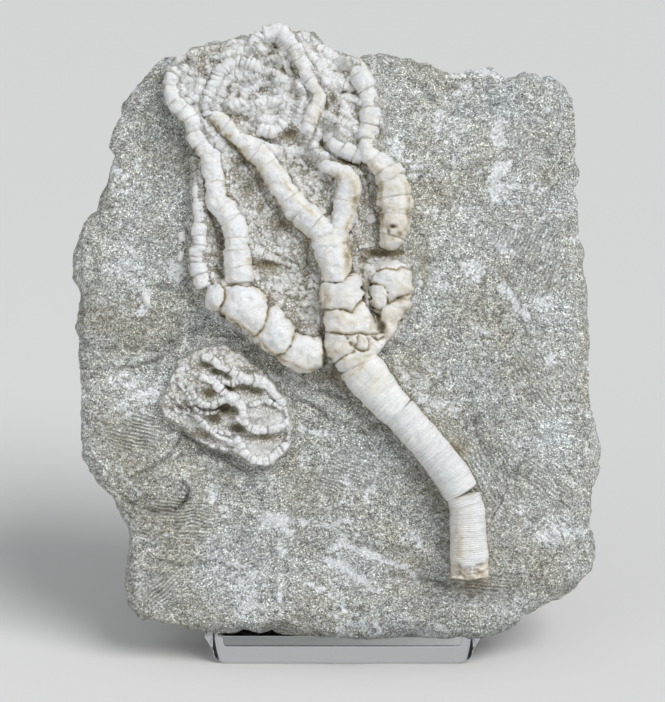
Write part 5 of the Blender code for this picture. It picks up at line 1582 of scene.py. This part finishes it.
# ---------------- sizes and colours a user may change
class StoneSettings(bpy.types.PropertyGroup):
    """The slab and the beds of small plates."""
    stone_tone: FloatVectorProperty(name="Stone", description="Colour of the bare stone", subtype="COLOR",
                                    size=3, min=0, max=1, default=(0.390, 0.395, 0.372))
    slab_cell: FloatProperty(name="Slab cell", description="Width of one cell of the slab's face",
                             unit="LENGTH", min=0.0004, default=0.0006)
    bed_cell: FloatProperty(name="Bed cell", description="Width of one cell of the crown's bed",
                            unit="LENGTH", min=0.0002, default=0.00025)
    small_cell: FloatProperty(name="Second crown cell", description="Width of one cell of the second crown",
                              unit="LENGTH", min=0.00015, default=0.0002)


class FossilSettings(bpy.types.PropertyGroup):
    """The stem, the cup and the arms."""
    calcite_tone: FloatVectorProperty(name="Calcite", description="Colour of the clean plates",
                                      subtype="COLOR", size=3, min=0, max=1, default=(0.770, 0.782, 0.795))
    ring_spacing: FloatProperty(name="Ring spacing", unit="LENGTH", min=0.0002, default=0.00023,
                                description="Distance between the rings of a piece's mesh")
    suture_depth: FloatProperty(name="Suture depth", unit="LENGTH", min=0.0, default=0.0009,
                                description="Depth of the joints between the large plates")


class StandSettings(bpy.types.PropertyGroup):
    """The clear stand."""
    acrylic_tone: FloatVectorProperty(name="Acrylic", description="Colour of the clear stand",
                                      subtype="COLOR", size=3, min=0, max=1, default=(0.97, 0.98, 0.98))
    polished_edge: FloatProperty(name="Polished edge", description="Rounding of the stand's edges",
                                 unit="LENGTH", min=0.0001, default=0.00045)


class StageSettings(bpy.types.PropertyGroup):
    """Floor, light and camera."""
    floor_tone: FloatVectorProperty(name="Floor", description="Colour of the floor", subtype="COLOR",
                                    size=3, min=0, max=1, default=(0.72, 0.72, 0.71))
    camera_distance: FloatProperty(name="Camera distance", description="From the slab's face to the camera",
                                   unit="LENGTH", min=0.2, default=0.6)
    key_strength: FloatProperty(name="Key light", description="Strength of the key light", min=0, default=2.3)
    fill_power: FloatProperty(name="Fill light", description="Power of the fill light", unit="POWER", min=0,
                              default=0.7)
    room_strength: FloatProperty(name="Room light", description="Strength of the light from all round", min=0,
                                 default=0.42)


# ---------------- operators
def settle(piece, finish, slot, *nodes):
    """A finished piece takes its material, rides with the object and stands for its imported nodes."""
    piece.data.materials.append(finish)
    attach(piece, "root")
    if nodes:
        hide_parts(*nodes)


def make_stone(context, build, *nodes):
    """One piece of stone."""
    stone = context.scene.fossil_stone
    settle(build(stone), finish_named("grey_stone", stone_finish, stone), "stone", *nodes)
    return {"FINISHED"}


def make_fossils(context, finish_name, stems):
    """The stem's pieces, or the cup and the arms."""
    fossil = context.scene.fossil_calcite
    finish = finish_named(finish_name, calcite_finish, fossil, stems)
    for number, node in enumerate(FOSSILS):
        if node.startswith("stem") == stems:
            settle(build_fossil(node, number, fossil), finish, "calcite", node)
    return {"FINISHED"}


class FOSSIL_OT_slab(bpy.types.Operator):
    """Make the stone slab"""
    bl_idname = "fossil.slab"
    bl_label = "Stone slab"

    def execute(self, context):
        return make_stone(context, build_slab, "matrix_slab")


class FOSSIL_OT_crown_bed(bpy.types.Operator):
    """Make the bed of small plates between the arms"""
    bl_idname = "fossil.crown_bed"
    bl_label = "Crown bed"

    def execute(self, context):
        return make_stone(context, build_crown_bed)


class FOSSIL_OT_second_crown(bpy.types.Operator):
    """Make the second, smaller crown"""
    bl_idname = "fossil.second_crown"
    bl_label = "Second crown"

    def execute(self, context):
        return make_stone(context, build_small_crown, "small_crown")


class FOSSIL_OT_stem(bpy.types.Operator):
    """Make the three lengths of stem"""
    bl_idname = "fossil.stem"
    bl_label = "Stem"

    def execute(self, context):
        return make_fossils(context, "stem_calcite", True)


class FOSSIL_OT_arms(bpy.types.Operator):
    """Make the cup and the arms"""
    bl_idname = "fossil.arms"
    bl_label = "Cup and arms"

    def execute(self, context):
        return make_fossils(context, "arm_calcite", False)


class FOSSIL_OT_loose_plates(bpy.types.Operator):
    """Make the separate plates bedded in the stone"""
    bl_idname = "fossil.loose_plates"
    bl_label = "Loose plates"

    def execute(self, context):
        finish = finish_named("arm_calcite", calcite_finish, context.scene.fossil_calcite, False)
        settle(build_loose_plates(), finish, "calcite")
        return {"FINISHED"}


class FOSSIL_OT_stand(bpy.types.Operator):
    """Make the clear stand"""
    bl_idname = "fossil.stand"
    bl_label = "Clear stand"

    def execute(self, context):
        stand = context.scene.fossil_stand
        finish = finish_named("clear_acrylic", acrylic_finish, stand)
        settle(build_stand_base(stand), finish, "acrylic", "stand_base")
        for node in ("stand_fin_left", "stand_fin_right"):
            settle(build_stand_fin(node, stand), finish, "acrylic", node)
        return {"FINISHED"}


# ---------------- the stage
FLOOR_GAP = 0.08 * MM  # a thin layer of air, so that the clear base shows as a block
FLOOR_REACH = 3.0  # metres
FRAME_HEIGHT = 702  # layout units that the camera sees
AIM = (-2.8, 78.0, 0.0)  # face mm, as are the next three
EYE = (-2.835, 78.03)
KEY_PLACE = (330.0, 440.0, 400.0)
FILL_PLACE = (-420.0, 160.0, 520.0)
KEY_SOFTNESS = math.radians(38)
FILL_SIZE = 0.60  # metres
ROOM_TONE = (0.95, 0.97, 1.0, 1.0)


def soft_light(name, kind, toward, energy, **looks):
    """One soft light that shines from a direction."""
    light = bpy.data.lights.new(name, kind)
    light.energy = energy
    for key, value in looks.items():
        setattr(light, key, value)
    lamp = placed(name, light)
    lamp.rotation_euler = toward.to_track_quat("Z", "Y").to_euler()
    return lamp


class FOSSIL_OT_stage(bpy.types.Operator):
    """Make the floor, the light and the camera"""
    bl_idname = "fossil.stage"
    bl_label = "Floor, light and camera"

    def execute(self, context):
        scene = context.scene
        stage = scene.fossil_stage
        shape = bmesh.new()
        bmesh.ops.create_grid(shape, x_segments=1, y_segments=1, size=FLOOR_REACH)
        bmesh.ops.translate(shape, vec=(0, 0, -FLOOR_GAP), verts=shape.verts)
        floor = placed("floor", mesh_of(shape, "floor"))
        finish, flow = new_finish("pale_floor")
        surface(flow, {"Base Color": (*stage.floor_tone, 1.0), "Roughness": 0.8, "Specular IOR Level": 0.2})
        floor.data.materials.append(finish)
        floor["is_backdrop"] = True

        world = bpy.data.worlds.new("studio")
        scene.world = world
        world.use_nodes = True
        backdrop = world.node_tree.nodes["Background"]
        backdrop.inputs["Color"].default_value = ROOM_TONE
        backdrop.inputs["Strength"].default_value = stage.room_strength
        middle = FACE @ Vector(AIM)
        place = FACE @ Vector(KEY_PLACE)
        soft_light("key", "SUN", place - middle, stage.key_strength, angle=KEY_SOFTNESS)
        place = FACE @ Vector(FILL_PLACE)
        fill = soft_light("fill", "AREA", place - middle, stage.fill_power, shape="SQUARE", size=FILL_SIZE)
        fill.location = place

        eye = bpy.data.cameras.new("camera")
        eye.lens = eye.sensor_width * stage.camera_distance / (FRAME_HEIGHT * UNIT * MM)
        eye.clip_start = 0.01
        camera = placed("camera", eye)
        camera.location = FACE @ Vector((*EYE, stage.camera_distance / MM))
        camera.rotation_euler = (math.pi / 2 - LEAN, 0, 0)
        scene.camera = camera
        scene.view_settings.view_transform = "Standard"
        return {"FINISHED"}


# ---------------- panel and registration
class FOSSIL_PT_panel(bpy.types.Panel):
    """Lists the steps that make the fossil"""
    bl_idname = "FOSSIL_PT_panel"
    bl_label = "Crinoid fossil"
    bl_space_type = "VIEW_3D"
    bl_region_type = "UI"
    bl_category = "Fossil"

    def draw(self, context):
        for group in GROUPS:
            settings = getattr(context.scene, group)
            box = self.layout.box()
            for name in settings.__annotations__:
                box.prop(settings, name)
        for step in STEPS:
            self.layout.operator(step.bl_idname)


GROUPS = {"fossil_stone": StoneSettings, "fossil_calcite": FossilSettings, "fossil_stand": StandSettings,
          "fossil_stage": StageSettings}
STEPS = (FOSSIL_OT_slab, FOSSIL_OT_crown_bed, FOSSIL_OT_second_crown, FOSSIL_OT_stem, FOSSIL_OT_arms,
         FOSSIL_OT_loose_plates, FOSSIL_OT_stand, FOSSIL_OT_stage)
CLASSES = (*GROUPS.values(), *STEPS, FOSSIL_PT_panel)


def register():
    for each in CLASSES:
        bpy.utils.register_class(each)
    for name, group in GROUPS.items():
        setattr(bpy.types.Scene, name, PointerProperty(type=group))


def unregister():
    for name in GROUPS:
        delattr(bpy.types.Scene, name)
    for each in reversed(CLASSES):
        bpy.utils.unregister_class(each)


def main():
    """Makes everything in order and works out the imported and the finished bounds."""
    register()
    bpy.ops.fossil.slab()
    bpy.ops.fossil.crown_bed()
    bpy.ops.fossil.second_crown()
    bpy.ops.fossil.stem()
    bpy.ops.fossil.arms()
    bpy.ops.fossil.loose_plates()
    bpy.ops.fossil.stand()
    bpy.ops.fossil.stage()
    sizes = {name: [list(corner) for corner in box] for name, box in
             (("cad", CAD_BOX), ("visual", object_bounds()))}


if __name__ == "__main__":
    main()
